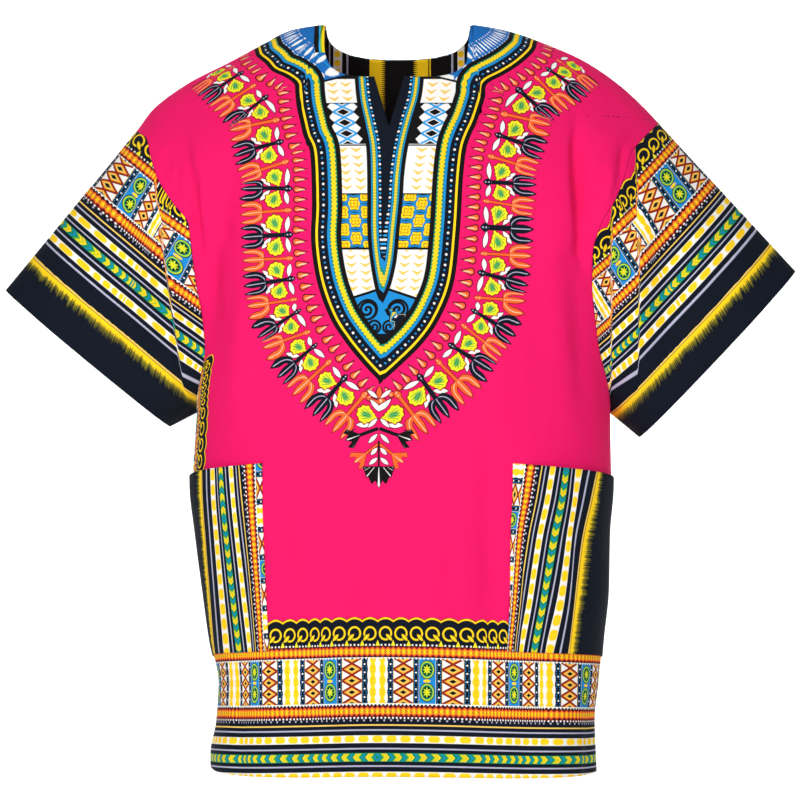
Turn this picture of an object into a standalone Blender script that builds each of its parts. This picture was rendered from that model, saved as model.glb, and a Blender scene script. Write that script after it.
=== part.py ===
"""A dashiki shirt, filled out as if worn by nobody: front, back, two sleeves, two pockets, neck facing.

Metres, +Z up. The front faces -Y and the viewer's right is +X. The origin is at the height of the
two neck points, midway between front and back, where shoulders would carry the shirt.

The body is a stack of horizontal sections. Each panel is a grid on that stack: its columns run from
the hem up to the neckline or the shoulder seam, and its outermost column follows the side seam and
then the armhole. Every cloth is an open grid that Solidify gives a wall, inwards.
"""

import math
from typing import NamedTuple

import bmesh
import bpy
import numpy as np

# Cloth
WALL = 0.0012                 # thickness of every cloth wall
FACING_WALL = 0.0010
PIECE_GAP = 0.0003            # between any two pieces
SEAM_BACK = 0.00030           # how far each edge stays back from its seam line
STITCH_STRIP = 0.004          # width of the stitched strip along seams, neckline, hem and cuffs

# Body, measured as worn
HEM_CENTRE_Z = -0.7307
NECK_CENTRE_X = -0.004
NECK_HALF_WIDTH = 0.072
UNDERARM_Z = -0.386
UNDERARM_ROW = 0.3727         # height of the row through the underarm points, up the cloth from the hem
NECK_SHARE = 0.30             # share of a panel's half width whose columns end at the neckline
SHOULDER_SPREAD = 0.75        # below 1 the shoulder columns stand closer towards the sleeve
ARMHOLE_PULL = 1.3            # how strongly the armhole's inward curve stays with the outer columns

BODY_OVAL = 0.4               # depth over width of the body, squared

# Front neckline and slit
FRONT_NECK_DROP = 0.0605
FRONT_NECK_SQUARENESS = 4.0
BACK_NECK_DROP = 0.0245
BACK_NECK_SQUARENESS = 2.5
SLIT_HALF_WIDTH = 0.0144
SLIT_POINT_Z = -0.1116

# Pockets, in shares of a panel's half width and in heights up the cloth
POCKET_INNER_SHARE = 0.405
POCKET_OUTER_SHARE = 0.940
POCKET_BOTTOM_ROW = 0.1215
POCKET_TOP_ROW = 0.3015
POCKET_MOUTH_LIFT = 0.0045

# Cuffs: each an oval ring, seen edge-on from the front
CUFF_HALF_DEPTH = 0.052
CUFF_SQUARENESS = 2.3

# Grid
ROWS_HEM_TO_POCKET = 5
ROWS_ALONG_POCKET = 8
ROWS_POCKET_TO_UNDERARM = 3
ROWS_ABOVE_UNDERARM = 13
SLIT_ROWS = 2
NECK_COLUMNS = 6
SHOULDER_SHARES = (0.30, 0.3525, 0.405, 0.472, 0.539, 0.606, 0.673, 0.740, 0.807, 0.874, 0.940, 0.984, 1.0)
SLEEVE_RINGS = 8
FACING_ROWS = 3
CURVE_SAMPLES = 49
COLUMN_SAMPLES = 120

FRONT = -1
BACK = 1
LEFT = -1
RIGHT = 1


class Section(NamedTuple):
    """One horizontal section of the body."""

    height: float
    left: float
    right: float
    front: float
    back: float
    centre: float
    squareness: float


# Down to the underarm the reach follows the top of the sleeve, then swings in to the body's side.
SECTIONS = (
    Section(-0.745, 0.189, 0.193, 0.141, 0.126, -0.023, 3.3),
    Section(-0.722, 0.189, 0.192, 0.141, 0.125, -0.023, 3.3),
    Section(-0.690, 0.183, 0.191, 0.140, 0.123, -0.023, 3.2),
    Section(-0.654, 0.181, 0.195, 0.140, 0.120, -0.023, 3.1),
    Section(-0.610, 0.190, 0.199, 0.140, 0.119, -0.023, 3.0),
    Section(-0.560, 0.197, 0.204, 0.142, 0.118, -0.023, 2.9),
    Section(-0.504, 0.204, 0.205, 0.144, 0.116, -0.023, 2.8),
    Section(-0.460, 0.208, 0.208, 0.146, 0.116, -0.022, 2.75),
    Section(-0.404, 0.205, 0.207, 0.149, 0.120, -0.022, 2.7),
    Section(-0.386, 0.204, 0.207, 0.149, 0.121, -0.022, 2.65),
    Section(-0.350, 0.206, 0.208, 0.150, 0.123, -0.021, 2.55),
    Section(-0.300, 0.213, 0.213, 0.150, 0.125, -0.019, 2.45),
    Section(-0.262, 0.228, 0.226, 0.147, 0.125, -0.017, 2.40),
    Section(-0.230, 0.251, 0.249, 0.144, 0.125, -0.0155, 2.35),
    Section(-0.200, 0.284, 0.286, 0.140, 0.124, -0.014, 2.30),
    Section(-0.177, 0.300, 0.303, 0.134, 0.122, -0.013, 2.30),
    Section(-0.152, 0.300, 0.303, 0.127, 0.119, -0.0125, 2.30),
    Section(-0.135, 0.289, 0.289, 0.121, 0.116, -0.0125, 2.30),
    Section(-0.105, 0.264, 0.262, 0.107, 0.111, -0.0125, 2.25),
    Section(-0.085, 0.249, 0.244, 0.094, 0.103, -0.0125, 2.25),
    Section(-0.060, 0.216, 0.217, 0.080, 0.092, -0.0125, 2.25),
    Section(-0.036, 0.170, 0.182, 0.066, 0.080, -0.011, 2.20),
    Section(-0.018, 0.137, 0.141, 0.055, 0.067, -0.008, 2.20),
    Section(-0.006, 0.113, 0.105, 0.047, 0.051, -0.005, 2.20),
    Section(0.000, 0.076, 0.068, 0.040, 0.040, -0.004, 2.20),
)


class ArmholePoint(NamedTuple):
    """Where the armhole seam crosses one height: its distance from the middle of the body."""

    height: float
    left_front: float
    right_front: float
    left_back: float
    right_back: float


ARMHOLE = (
    ArmholePoint(-0.386, 0.2040, 0.2070, 0.2040, 0.2070),
    ArmholePoint(-0.380, 0.2037, 0.2066, 0.2037, 0.2066),
    ArmholePoint(-0.372, 0.2020, 0.2050, 0.2022, 0.2050),
    ArmholePoint(-0.350, 0.196, 0.199, 0.195, 0.197),
    ArmholePoint(-0.327, 0.191, 0.192, 0.189, 0.191),
    ArmholePoint(-0.290, 0.194, 0.186, 0.190, 0.191),
    ArmholePoint(-0.262, 0.199, 0.183, 0.194, 0.195),
    ArmholePoint(-0.235, 0.202, 0.183, 0.198, 0.199),
    ArmholePoint(-0.205, 0.205, 0.191, 0.205, 0.206),
    ArmholePoint(-0.185, 0.220, 0.203, 0.213, 0.213),
    ArmholePoint(-0.160, 0.236, 0.214, 0.224, 0.223),
    ArmholePoint(-0.135, 0.245, 0.222, 0.238, 0.236),
    ArmholePoint(-0.118, 0.250, 0.236, 0.250, 0.246),
    ArmholePoint(-0.105, 0.264, 0.249, 0.264, 0.254),
    ArmholePoint(-0.098, 0.264, 0.2555, 0.264, 0.2555),
)


class ArmholeTop(NamedTuple):
    """The shoulder point: where the shoulder seam meets the sleeve."""

    height: float
    reach: float


ARMHOLE_TOPS = {LEFT: ArmholeTop(-0.105, 0.264), RIGHT: ArmholeTop(-0.098, 0.2555)}


class Cuff(NamedTuple):
    """The sleeve's open end: its upper and lower corner in the front view."""

    top_x: float
    top_z: float
    bottom_x: float
    bottom_z: float


CUFFS = {
    LEFT: Cuff(-0.3955, -0.2640, -0.2315, -0.4005),
    RIGHT: Cuff(0.3925, -0.2450, 0.2370, -0.4110),
}


class Droop(NamedTuple):
    """How much lower a row of the cloth hangs at the side than at its middle."""

    row: float
    droop: float


DROOPS = (Droop(0.0, 0.018), Droop(0.29, 0.0283), Droop(UNDERARM_ROW, 0.0283))
HEM_RISE = {LEFT: 0.019, RIGHT: 0.009}      # the hem is cut this much higher at each side seam


class Fold(NamedTuple):
    """A soft ridge, or a trough where its height is negative, along a line in the front view."""

    top_x: float
    top_z: float
    bottom_x: float
    bottom_z: float
    width: float
    height: float


FRONT_FOLDS = (
    Fold(-0.190, -0.090, -0.205, -0.240, 0.016, 0.0060),
    Fold(-0.212, -0.110, -0.226, -0.215, 0.010, -0.0045),
    Fold(-0.160, -0.110, -0.190, -0.300, 0.014, -0.0070),
    Fold(-0.128, -0.150, -0.168, -0.420, 0.020, 0.0050),
    Fold(0.170, -0.110, 0.192, -0.260, 0.014, -0.0070),
    Fold(0.205, -0.100, 0.205, -0.215, 0.014, 0.0060),
    Fold(0.135, -0.150, 0.165, -0.420, 0.020, 0.0050),
    Fold(-0.160, -0.600, -0.158, -0.860, 0.020, 0.0050),
    Fold(-0.090, -0.560, -0.078, -0.880, 0.020, -0.0065),
    Fold(-0.020, -0.560, -0.024, -0.880, 0.034, 0.0050),
    Fold(0.092, -0.380, 0.078, -0.900, 0.024, -0.0045),
    Fold(0.150, -0.560, 0.148, -0.880, 0.022, 0.0045),
)
BACK_FOLDS = (
    Fold(-0.150, -0.100, -0.180, -0.330, 0.018, -0.0065),
    Fold(-0.185, -0.110, -0.190, -0.280, 0.014, 0.0050),
    Fold(0.152, -0.110, 0.178, -0.350, 0.018, -0.0065),
    Fold(0.188, -0.120, 0.190, -0.290, 0.014, 0.0050),
    Fold(-0.100, -0.420, -0.110, -0.900, 0.026, 0.0055),
    Fold(-0.030, -0.500, -0.026, -0.900, 0.022, -0.0055),
    Fold(0.060, -0.440, 0.070, -0.900, 0.026, 0.0055),
    Fold(0.125, -0.520, 0.132, -0.900, 0.020, -0.0045),
)
SLEEVE_FRONT_FOLDS = {
    LEFT: (
        Fold(-0.240, -0.180, -0.217, -0.400, 0.014, 0.0090),
        Fold(-0.268, -0.170, -0.262, -0.400, 0.016, -0.0060),
        Fold(-0.330, -0.160, -0.345, -0.360, 0.022, 0.0040),
    ),
    RIGHT: (
        Fold(0.232, -0.150, 0.228, -0.400, 0.013, 0.0080),
        Fold(0.256, -0.140, 0.262, -0.400, 0.014, -0.0050),
        Fold(0.325, -0.150, 0.340, -0.360, 0.022, 0.0040),
    ),
}
SLEEVE_BACK_FOLDS = {
    LEFT: (
        Fold(-0.235, -0.180, -0.225, -0.400, 0.016, 0.0070),
        Fold(-0.290, -0.160, -0.290, -0.400, 0.020, -0.0045),
    ),
    RIGHT: (
        Fold(0.235, -0.170, 0.225, -0.400, 0.016, 0.0070),
        Fold(0.292, -0.150, 0.292, -0.400, 0.020, -0.0045),
    ),
}


class Cloth(NamedTuple):
    """A plain stand-in for a printed cotton: its main colour, linear."""

    name: str
    red: float
    green: float
    blue: float


PINK_GROUND = Cloth("pink_ground", 0.83, 0.012, 0.13)
NAVY_BORDER = Cloth("navy_border", 0.010, 0.014, 0.022)
FACING_BLACK = Cloth("facing_black", 0.012, 0.010, 0.009)
CLOTH_ROUGHNESS = 0.78


def named_column(rows, name):
    """One named column of a table as an array."""
    return np.array([getattr(row, name) for row in rows], dtype=float)


def smooth_lookup(places, values, at):
    """A smooth curve through a table's values that never swings past them."""
    steps = np.diff(places)
    rises = np.diff(values) / steps
    slopes = np.zeros(len(places))
    same_way = rises[:-1] * rises[1:] > 0.0
    product = 2.0 * rises[:-1] * rises[1:]
    total = np.where(same_way, rises[:-1] + rises[1:], 1.0)
    slopes[1:-1] = np.where(same_way, product / total, 0.0)
    slopes[0] = rises[0]
    slopes[-1] = rises[-1]
    at = np.clip(np.asarray(at, dtype=float), places[0], places[-1])
    cell = np.clip(np.searchsorted(places, at, side="right") - 1, 0, len(steps) - 1)
    span = steps[cell]
    part = (at - places[cell]) / span
    start = (1.0 + 2.0 * part) * (1.0 - part) ** 2 * values[cell]
    start_slope = part * (1.0 - part) ** 2 * span * slopes[cell]
    end = part**2 * (3.0 - 2.0 * part) * values[cell + 1]
    end_slope = part**2 * (part - 1.0) * span * slopes[cell + 1]
    return start + start_slope + end + end_slope


def smooth_step(value):
    """0 below 0, 1 above 1, and an even rise between."""
    value = np.clip(value, 0.0, 1.0)
    return value * value * (3.0 - 2.0 * value)


def section_value(name, z):
    """One measure of the body's section at each height."""
    return smooth_lookup(named_column(SECTIONS, "height"), named_column(SECTIONS, name), z)


def section_centre(face, z):
    """Where the panel's centre line stands: the front's lies off the middle, the back's on it."""
    if face == FRONT:
        return section_value("centre", z)
    return np.zeros_like(z)


def section_sizes(face, side, z):
    """Centre, reach to the side, depth and the power of the section's curve."""
    centre = section_centre(face, z)
    reach = np.where(side < 0, section_value("left", z), section_value("right", z)) - side * centre
    depth = section_value("front" if face == FRONT else "back", z)
    return centre, reach, depth, 2.0 / section_value("squareness", z)


def section_lengths(face, side, z):
    """Angles along a section from centre to side, and the share of the way that each has reached."""
    angles = np.linspace(0.0, math.pi / 2.0, CURVE_SAMPLES)
    _, reach, depth, power = section_sizes(face, side, z)
    across = reach[:, None] * np.sin(angles) ** power[:, None]
    along = depth[:, None] * np.cos(angles) ** power[:, None]
    along[:, -1] = 0.0
    pieces = np.hypot(np.diff(across, axis=1), np.diff(along, axis=1))
    lengths = np.concatenate([np.zeros((len(z), 1)), np.cumsum(pieces, axis=1)], axis=1)
    return angles, lengths / lengths[:, -1:]


def lookup_each(keys, values, wanted):
    """Straight lookup with a table of keys of its own for each wanted value."""
    cell = np.clip((keys <= wanted[:, None]).sum(axis=1) - 1, 0, keys.shape[1] - 2)
    row = np.arange(len(wanted))
    span = keys[row, cell + 1] - keys[row, cell]
    part = np.clip((wanted - keys[row, cell]) / np.where(span > 0.0, span, 1.0), 0.0, 1.0)
    return values[row, cell] * (1.0 - part) + values[row, cell + 1] * part


def body_point(face, side, share, z):
    """A point of the smooth body, a share of the way round from the centre line to the side."""
    angles, shares = section_lengths(face, side, z)
    angle = lookup_each(shares, np.broadcast_to(angles, shares.shape), share)
    centre, reach, depth, power = section_sizes(face, side, z)
    x = centre + side * reach * np.sin(angle) ** power
    y = face * depth * np.clip(np.cos(angle), 0.0, 1.0) ** power
    y = np.where(share >= 1.0, 0.0, y)
    return np.stack([x, y, z], axis=-1)


def share_at(face, side, x, z):
    """The share of the way round at which a section stands at x."""
    angles, shares = section_lengths(face, side, z)
    centre, reach, _, power = section_sizes(face, side, z)
    part = np.clip((x - centre) * side / reach, 0.0, 1.0)
    angle = np.arcsin(part ** (1.0 / power))
    return lookup_each(np.broadcast_to(angles, shares.shape), shares, angle)


def armhole_share(face, side, z):
    """The share of the way round at which the armhole seam crosses each height."""
    name = ("left" if side == LEFT else "right") + ("_front" if face == FRONT else "_back")
    distance = smooth_lookup(named_column(ARMHOLE, "height"), named_column(ARMHOLE, name), z)
    return share_at(face, np.full_like(z, side), side * distance, z)


def panel_limit(face, side, z):
    """What the outermost column's share is at each height, over the side's own share."""
    top = ARMHOLE_TOPS[side]
    below = armhole_share(face, side, np.minimum(z, top.height))
    below = np.where(z <= UNDERARM_Z, 1.0, below)
    below = np.where(z >= top.height, 1.0, np.minimum(below, 1.0))
    neck_reach = NECK_HALF_WIDTH + side * NECK_CENTRE_X
    reach = section_value("left" if side == LEFT else "right", z)
    shoulder_part = np.clip((reach - neck_reach) / (top.reach - neck_reach), 0.0, 1.0)
    column_at_seam = NECK_SHARE + (1.0 - NECK_SHARE) * shoulder_part**SHOULDER_SPREAD
    return np.where(z > top.height, 1.0 / column_at_seam, below)


def panel_point(face, side, column, z):
    """A point of a panel: its column runs from 0 at the centre line to 1 at its outer edge."""
    limit = panel_limit(face, side, z)
    pulled_in = column - (1.0 - limit) * column**ARMHOLE_PULL
    share = np.clip(np.where(limit < 1.0, pulled_in, column * limit), 0.0, 1.0)
    return body_point(face, np.full_like(z, side), share, z)


def neckline_height(face, part):
    """The neckline's height, part of the way from its middle to the neck point."""
    if face == FRONT:
        drop, squareness = FRONT_NECK_DROP, FRONT_NECK_SQUARENESS
    else:
        drop, squareness = BACK_NECK_DROP, BACK_NECK_SQUARENESS
    return -drop * np.clip(1.0 - part**squareness, 0.0, 1.0) ** (1.0 / squareness)


def neck_columns(face, side):
    """Columns that end at points spread evenly along the neckline, and their top heights."""
    centre_x = float(section_centre(face, np.array([-FRONT_NECK_DROP]))[0])
    start = side * (centre_x - NECK_CENTRE_X) / NECK_HALF_WIDTH
    parts = np.linspace(start, 1.0, 400)
    heights = neckline_height(face, np.abs(parts))
    x = NECK_CENTRE_X + side * NECK_HALF_WIDTH * parts
    lengths = np.concatenate([[0.0], np.cumsum(np.hypot(np.diff(x), np.diff(heights)))])
    wanted = np.linspace(0.0, lengths[-1], NECK_COLUMNS + 1)[:-1]
    top_x = np.interp(wanted, lengths, x)
    top_z = np.interp(wanted, lengths, heights)
    share = share_at(face, np.full_like(top_z, side), top_x, top_z)
    columns = share / panel_limit(face, side, top_z)
    columns[0] = 0.0
    return columns, top_z


def shoulder_tops(side):
    """Heights at which the shoulder columns end on the shoulder seam."""
    top = ARMHOLE_TOPS[side]
    neck_reach = NECK_HALF_WIDTH + side * NECK_CENTRE_X
    heights = np.linspace(top.height, 0.0, 400)
    reach = section_value("left" if side == LEFT else "right", heights)
    part = (np.array(SHOULDER_SHARES) - NECK_SHARE) / (1.0 - NECK_SHARE)
    wanted = neck_reach + part ** (1.0 / SHOULDER_SPREAD) * (top.reach - neck_reach)
    return np.interp(wanted, reach[::-1], heights[::-1])


def droop(row):
    """How much lower a row hangs at the side than at the middle."""
    return np.interp(row, named_column(DROOPS, "row"), named_column(DROOPS, "droop"))


def lower_rows(side, column):
    """Heights of a column's grid rows from the hem to the underarm row."""
    hem = HEM_RISE[side] * column**3
    to_pocket = np.linspace(0.0, 1.0, ROWS_HEM_TO_POCKET + 1)
    rows = list(hem + (POCKET_BOTTOM_ROW - hem) * to_pocket)
    rows.insert(1, hem + STITCH_STRIP)
    rows += list(np.linspace(POCKET_BOTTOM_ROW, POCKET_TOP_ROW, ROWS_ALONG_POCKET + 1)[1:])
    rows += list(np.linspace(POCKET_TOP_ROW, UNDERARM_ROW, ROWS_POCKET_TO_UNDERARM + 1)[1:])
    rows = np.array(rows)
    return HEM_CENTRE_Z + rows - droop(rows) * column**2


def upper_rows(face, side, column, start_z, top_z):
    """Heights of a column's grid rows above the underarm row, evenly spaced along the cloth."""
    samples = np.linspace(1.0, 0.0, COLUMN_SAMPLES)
    heights = top_z - (top_z - start_z) * samples**2
    points = panel_point(face, side, np.full_like(heights, column), heights)
    pieces = np.linalg.norm(np.diff(points, axis=0), axis=1)
    lengths = np.concatenate([[0.0], np.cumsum(pieces)])
    end = lengths[-1] - STITCH_STRIP
    wanted = list(np.linspace(0.0, end, ROWS_ABOVE_UNDERARM + 1)[1:]) + [lengths[-1]]
    if column == 0.0 and face == FRONT:
        slit = float(np.interp(SLIT_POINT_Z, heights, lengths))
        below = np.linspace(0.0, slit, ROWS_ABOVE_UNDERARM - SLIT_ROWS + 1)[1:]
        above = np.linspace(slit, end, SLIT_ROWS + 1)[1:]
        wanted = list(below) + list(above) + [lengths[-1]]
    rows = np.interp(wanted, lengths, heights)
    rows[-1] = top_z
    return rows


def half_panel(face, side):
    """Grid points of one half of a panel: rows from the hem up, columns from the centre out."""
    neck_shares, neck_tops = neck_columns(face, side)
    columns = list(neck_shares) + list(SHOULDER_SHARES)
    tops = list(neck_tops) + list(shoulder_tops(side))
    grid = []
    for column, top_z in zip(columns, tops):
        below = lower_rows(side, column)
        above = upper_rows(face, side, column, below[-1], top_z)
        heights = np.concatenate([below, above])
        grid.append(panel_point(face, side, np.full_like(heights, column), heights))
    return np.array(grid).transpose(1, 0, 2), np.array(columns)


def grid_normals(points, outward):
    """Unit normals of a grid, each the mean of the faces round its point, on the outward side."""
    faces = np.cross(points[1:, 1:] - points[:-1, :-1], points[1:, :-1] - points[:-1, 1:])
    faces /= np.maximum(np.linalg.norm(faces, axis=-1, keepdims=True), 1e-12)
    normals = np.zeros_like(points)
    for row_end in (slice(0, -1), slice(1, None)):
        for column_end in (slice(0, -1), slice(1, None)):
            normals[row_end, column_end] += faces
    normals /= np.maximum(np.linalg.norm(normals, axis=-1, keepdims=True), 1e-12)
    flip = np.sign((normals * outward).sum(axis=-1, keepdims=True))
    return normals * np.where(flip == 0.0, 1.0, flip)


def fold_height(folds, points):
    """How far the folds lift or sink each point of a grid."""
    height = np.zeros(points.shape[:-1])
    for fold in folds:
        run_x = fold.bottom_x - fold.top_x
        run_z = fold.bottom_z - fold.top_z
        length = math.hypot(run_x, run_z)
        along = ((points[..., 0] - fold.top_x) * run_x + (points[..., 2] - fold.top_z) * run_z) / length**2
        aside = ((points[..., 0] - fold.top_x) * run_z - (points[..., 2] - fold.top_z) * run_x) / length
        fade = np.sin(math.pi * np.clip(along, 0.0, 1.0)) ** 1.2
        height += fold.height * np.exp(-((aside / fold.width) ** 2)) * fade
    return height


def outward_of(points):
    """Level directions square to an oval body, away from its upright middle axis."""
    away = points.copy()
    away[..., 0] *= BODY_OVAL
    away[..., 2] = 0.02
    return away / np.linalg.norm(away, axis=-1, keepdims=True)


def panel_grid(face, side):
    """Half a panel with its folds pressed in, which fade before its seams."""
    points, columns = half_panel(face, side)
    folds = FRONT_FOLDS if face == FRONT else BACK_FOLDS
    lift = fold_height(folds, points)
    fade = smooth_step((1.0 - columns) / 0.16)[None, :] * np.ones((len(points), 1))
    distance_to_top = np.linalg.norm(points - points[-1:], axis=-1)
    fade *= smooth_step(distance_to_top / 0.06)
    return points + outward_of(points) * (lift * fade)[..., None], columns


def open_slit(points, columns, side):
    """Draw one half front back from the centre line, above the slit's point."""
    centre_z = points[:, 0, 2]
    opening = np.clip((centre_z - SLIT_POINT_Z) / (-FRONT_NECK_DROP - SLIT_POINT_Z), 0.0, 1.0)
    near = np.clip(1.0 - columns / NECK_SHARE, 0.0, 1.0) ** 1.5
    points[..., 0] += side * SLIT_HALF_WIDTH * opening[:, None] * near[None, :]


def draw_back_seams(points):
    """Keep the side, armhole and shoulder edges of half a panel back from their seam lines."""
    first_shoulder = NECK_COLUMNS
    inward = points[:, -2] - points[:, -1]
    points[:, -1] += SEAM_BACK * inward / np.linalg.norm(inward, axis=-1, keepdims=True)
    downward = points[-2, first_shoulder:] - points[-1, first_shoulder:]
    points[-1, first_shoulder:] += SEAM_BACK * downward / np.linalg.norm(downward, axis=-1, keepdims=True)


def grid_mesh(points, closed=False):
    """A grid of quads through rows of points, welded into a tube where it is closed."""
    row_count, column_count = points.shape[:2]
    mesh = bmesh.new()
    bmesh.ops.create_grid(mesh, x_segments=column_count - 1, y_segments=row_count - 1, size=0.5)
    for vertex in mesh.verts:
        column = round((vertex.co.x + 0.5) * (column_count - 1))
        row = round((vertex.co.y + 0.5) * (row_count - 1))
        vertex.co = points[row, column]
    if closed:
        bmesh.ops.remove_doubles(mesh, verts=mesh.verts, dist=1e-6)
    return mesh


def turn_outward(mesh, outward):
    """Make the faces of an open cloth point to its outer side."""
    mesh.normal_update()
    votes = sum(face.normal.dot(outward(face.calc_center_median())) for face in mesh.faces)
    if votes < 0.0:
        bmesh.ops.reverse_faces(mesh, faces=mesh.faces)


def make_material(cloth):
    """A plain Principled material in the cloth's main colour."""
    material = bpy.data.materials.get(cloth.name) or bpy.data.materials.new(cloth.name)
    material.use_nodes = True
    shader = material.node_tree.nodes["Principled BSDF"]
    shader.inputs["Base Color"].default_value = (cloth.red, cloth.green, cloth.blue, 1.0)
    shader.inputs["Roughness"].default_value = CLOTH_ROUGHNESS
    shader.inputs["Metallic"].default_value = 0.0
    return material


def make_cloth(name, mesh, wall, cloth, collection):
    """An object with an open cloth mesh, given its wall inwards by Solidify."""
    data = bpy.data.meshes.new(name)
    mesh.to_mesh(data)
    mesh.free()
    data.shade_smooth()
    data.materials.append(make_material(cloth))
    piece = bpy.data.objects.new(name, data)
    collection.objects.link(piece)
    solidify = piece.modifiers.new("wall", "SOLIDIFY")
    solidify.thickness = wall
    solidify.offset = -1.0
    solidify.use_even_offset = False
    return piece


def from_middle(point):
    """Outward direction of a body panel at a point."""
    away = point.copy()
    away.z = 0.02
    return away


def join_halves(left, right):
    """One grid from two half panels that share their centre column."""
    return np.concatenate([left[:, ::-1], right[:, 1:]], axis=1)


def make_back(collection):
    """The back panel, one piece from side to side. Returns its grid, before the seams are drawn back."""
    left, _ = panel_grid(BACK, LEFT)
    right, _ = panel_grid(BACK, RIGHT)
    whole = join_halves(left, right)
    draw_back_seams(left)
    draw_back_seams(right)
    mesh = grid_mesh(join_halves(left, right))
    turn_outward(mesh, from_middle)
    make_cloth("back", mesh, WALL, PINK_GROUND, collection)
    return whole


def make_front(collection):
    """The front panel with the slit at its neck. Returns both half grids."""
    left, columns = panel_grid(FRONT, LEFT)
    right, right_columns = panel_grid(FRONT, RIGHT)
    open_slit(left, columns, LEFT)
    open_slit(right, right_columns, RIGHT)
    kept = left.copy(), right.copy()
    draw_back_seams(left)
    draw_back_seams(right)
    mesh = grid_mesh(left[:, ::-1])
    grid_right = grid_mesh(right)
    spare = bpy.data.meshes.new("right_half")
    grid_right.to_mesh(spare)
    grid_right.free()
    mesh.from_mesh(spare)
    bpy.data.meshes.remove(spare)
    bmesh.ops.remove_doubles(mesh, verts=mesh.verts, dist=1e-6)
    turn_outward(mesh, from_middle)
    make_cloth("front", mesh, WALL, PINK_GROUND, collection)
    return kept


def make_pocket(name, half, collection):
    """A patch pocket: a block of the front's own points, moved out from the panel."""
    first_row = ROWS_HEM_TO_POCKET + 1
    last_row = first_row + ROWS_ALONG_POCKET
    first_column = NECK_COLUMNS + SHOULDER_SHARES.index(POCKET_INNER_SHARE)
    last_column = NECK_COLUMNS + SHOULDER_SHARES.index(POCKET_OUTER_SHARE)
    normals = grid_normals(half, outward_of(half))
    rows = slice(first_row, last_row + 1)
    columns = slice(first_column, last_column + 1)
    block = half[rows, columns]
    up = np.linspace(0.0, 1.0, block.shape[0])[:, None]
    across = np.linspace(0.0, 1.0, block.shape[1])[None, :]
    mouth = POCKET_MOUTH_LIFT * up**3 * np.sin(math.pi * across)
    lift = PIECE_GAP + WALL + mouth
    points = block + normals[rows, columns] * lift[..., None]
    mesh = grid_mesh(points)
    turn_outward(mesh, from_middle)
    make_cloth(name, mesh, WALL, NAVY_BORDER, collection)


def make_facing(back, collection):
    """The facing inside the back neck: a block of the back's own points, moved in."""
    middle = back.shape[1] // 2
    reach = NECK_COLUMNS - 1
    normals = grid_normals(back, outward_of(back))
    rows = slice(back.shape[0] - 1 - FACING_ROWS - 1, back.shape[0])
    columns = slice(middle - reach, middle + reach + 1)
    points = back[rows, columns] - normals[rows, columns] * (WALL + PIECE_GAP)
    mesh = grid_mesh(points)
    turn_outward(mesh, from_middle)
    make_cloth("neck_facing", mesh, FACING_WALL, FACING_BLACK, collection)


def armhole_loop(side):
    """Points round the armhole: shoulder, down the front to the underarm, and up the back."""
    start = lower_rows(side, 1.0)[-1]
    top = ARMHOLE_TOPS[side].height
    front = upper_rows(FRONT, side, 1.0, start, top)
    back = upper_rows(BACK, side, 1.0, start, top)
    front_points = panel_point(FRONT, side, np.ones_like(front), front)
    back_points = panel_point(BACK, side, np.ones_like(back), back)
    underarm = panel_point(FRONT, side, np.ones(1), np.array([start]))
    return np.concatenate([front_points[::-1], underarm, back_points])


def cuff_point(side, turn):
    """A point of the cuff's oval: turn 0 is its upper corner, half way round its lower one."""
    cuff = CUFFS[side]
    middle = np.array([(cuff.top_x + cuff.bottom_x) / 2.0, 0.0, (cuff.top_z + cuff.bottom_z) / 2.0])
    half = np.array([(cuff.top_x - cuff.bottom_x) / 2.0, 0.0, (cuff.top_z - cuff.bottom_z) / 2.0])
    power = 2.0 / CUFF_SQUARENESS
    cosine, sine = np.cos(turn), np.sin(turn)
    along = np.sign(cosine) * np.abs(cosine) ** power
    aside = np.sign(sine) * np.abs(sine) ** power
    forward = np.array([0.0, -CUFF_HALF_DEPTH, 0.0])
    return middle + along[:, None] * half + aside[:, None] * forward


def loop_turns(loop):
    """A turn from 0 to 2 pi for each point of the armhole loop, pi at the underarm."""
    pieces = np.linalg.norm(np.diff(loop, axis=0), axis=1)
    lengths = np.concatenate([[0.0], np.cumsum(pieces)])
    underarm = len(loop) // 2
    first = lengths[: underarm + 1] / lengths[underarm] * math.pi
    rest = (lengths[underarm + 1:] - lengths[underarm]) / (lengths[-1] - lengths[underarm])
    return np.concatenate([first, math.pi + rest * math.pi])


def sleeve_grid(side):
    """Grid points of a sleeve: rows from the armhole to the cuff, columns round it."""
    loop = armhole_loop(side)
    turns = loop_turns(loop)
    cuff = cuff_point(side, turns)
    rulings = np.linalg.norm(cuff - loop, axis=1)
    rows = []
    strip = STITCH_STRIP / rulings
    for ring in np.linspace(0.0, 1.0, SLEEVE_RINGS + 1):
        part = strip + (1.0 - 2.0 * strip) * ring
        rows.append(loop + (cuff - loop) * part[:, None])
    rows.insert(0, loop)
    rows.append(cuff)
    points = np.array(rows)
    points[:, -1] = points[:, 0]
    folds = np.where(
        (np.sin(turns) >= 0.0)[None, :],
        fold_height(SLEEVE_FRONT_FOLDS[side], points),
        fold_height(SLEEVE_BACK_FOLDS[side], points),
    )
    fade = np.sin(turns)[None, :] ** 2 * smooth_step(np.arange(len(rows)) / 3.0)[:, None]
    away = np.zeros_like(points)
    away[..., 1] = -np.sign(np.sin(turns))[None, :]
    points += away * (folds * fade)[..., None]
    points[:, -1] = points[:, 0]
    return points


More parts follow.
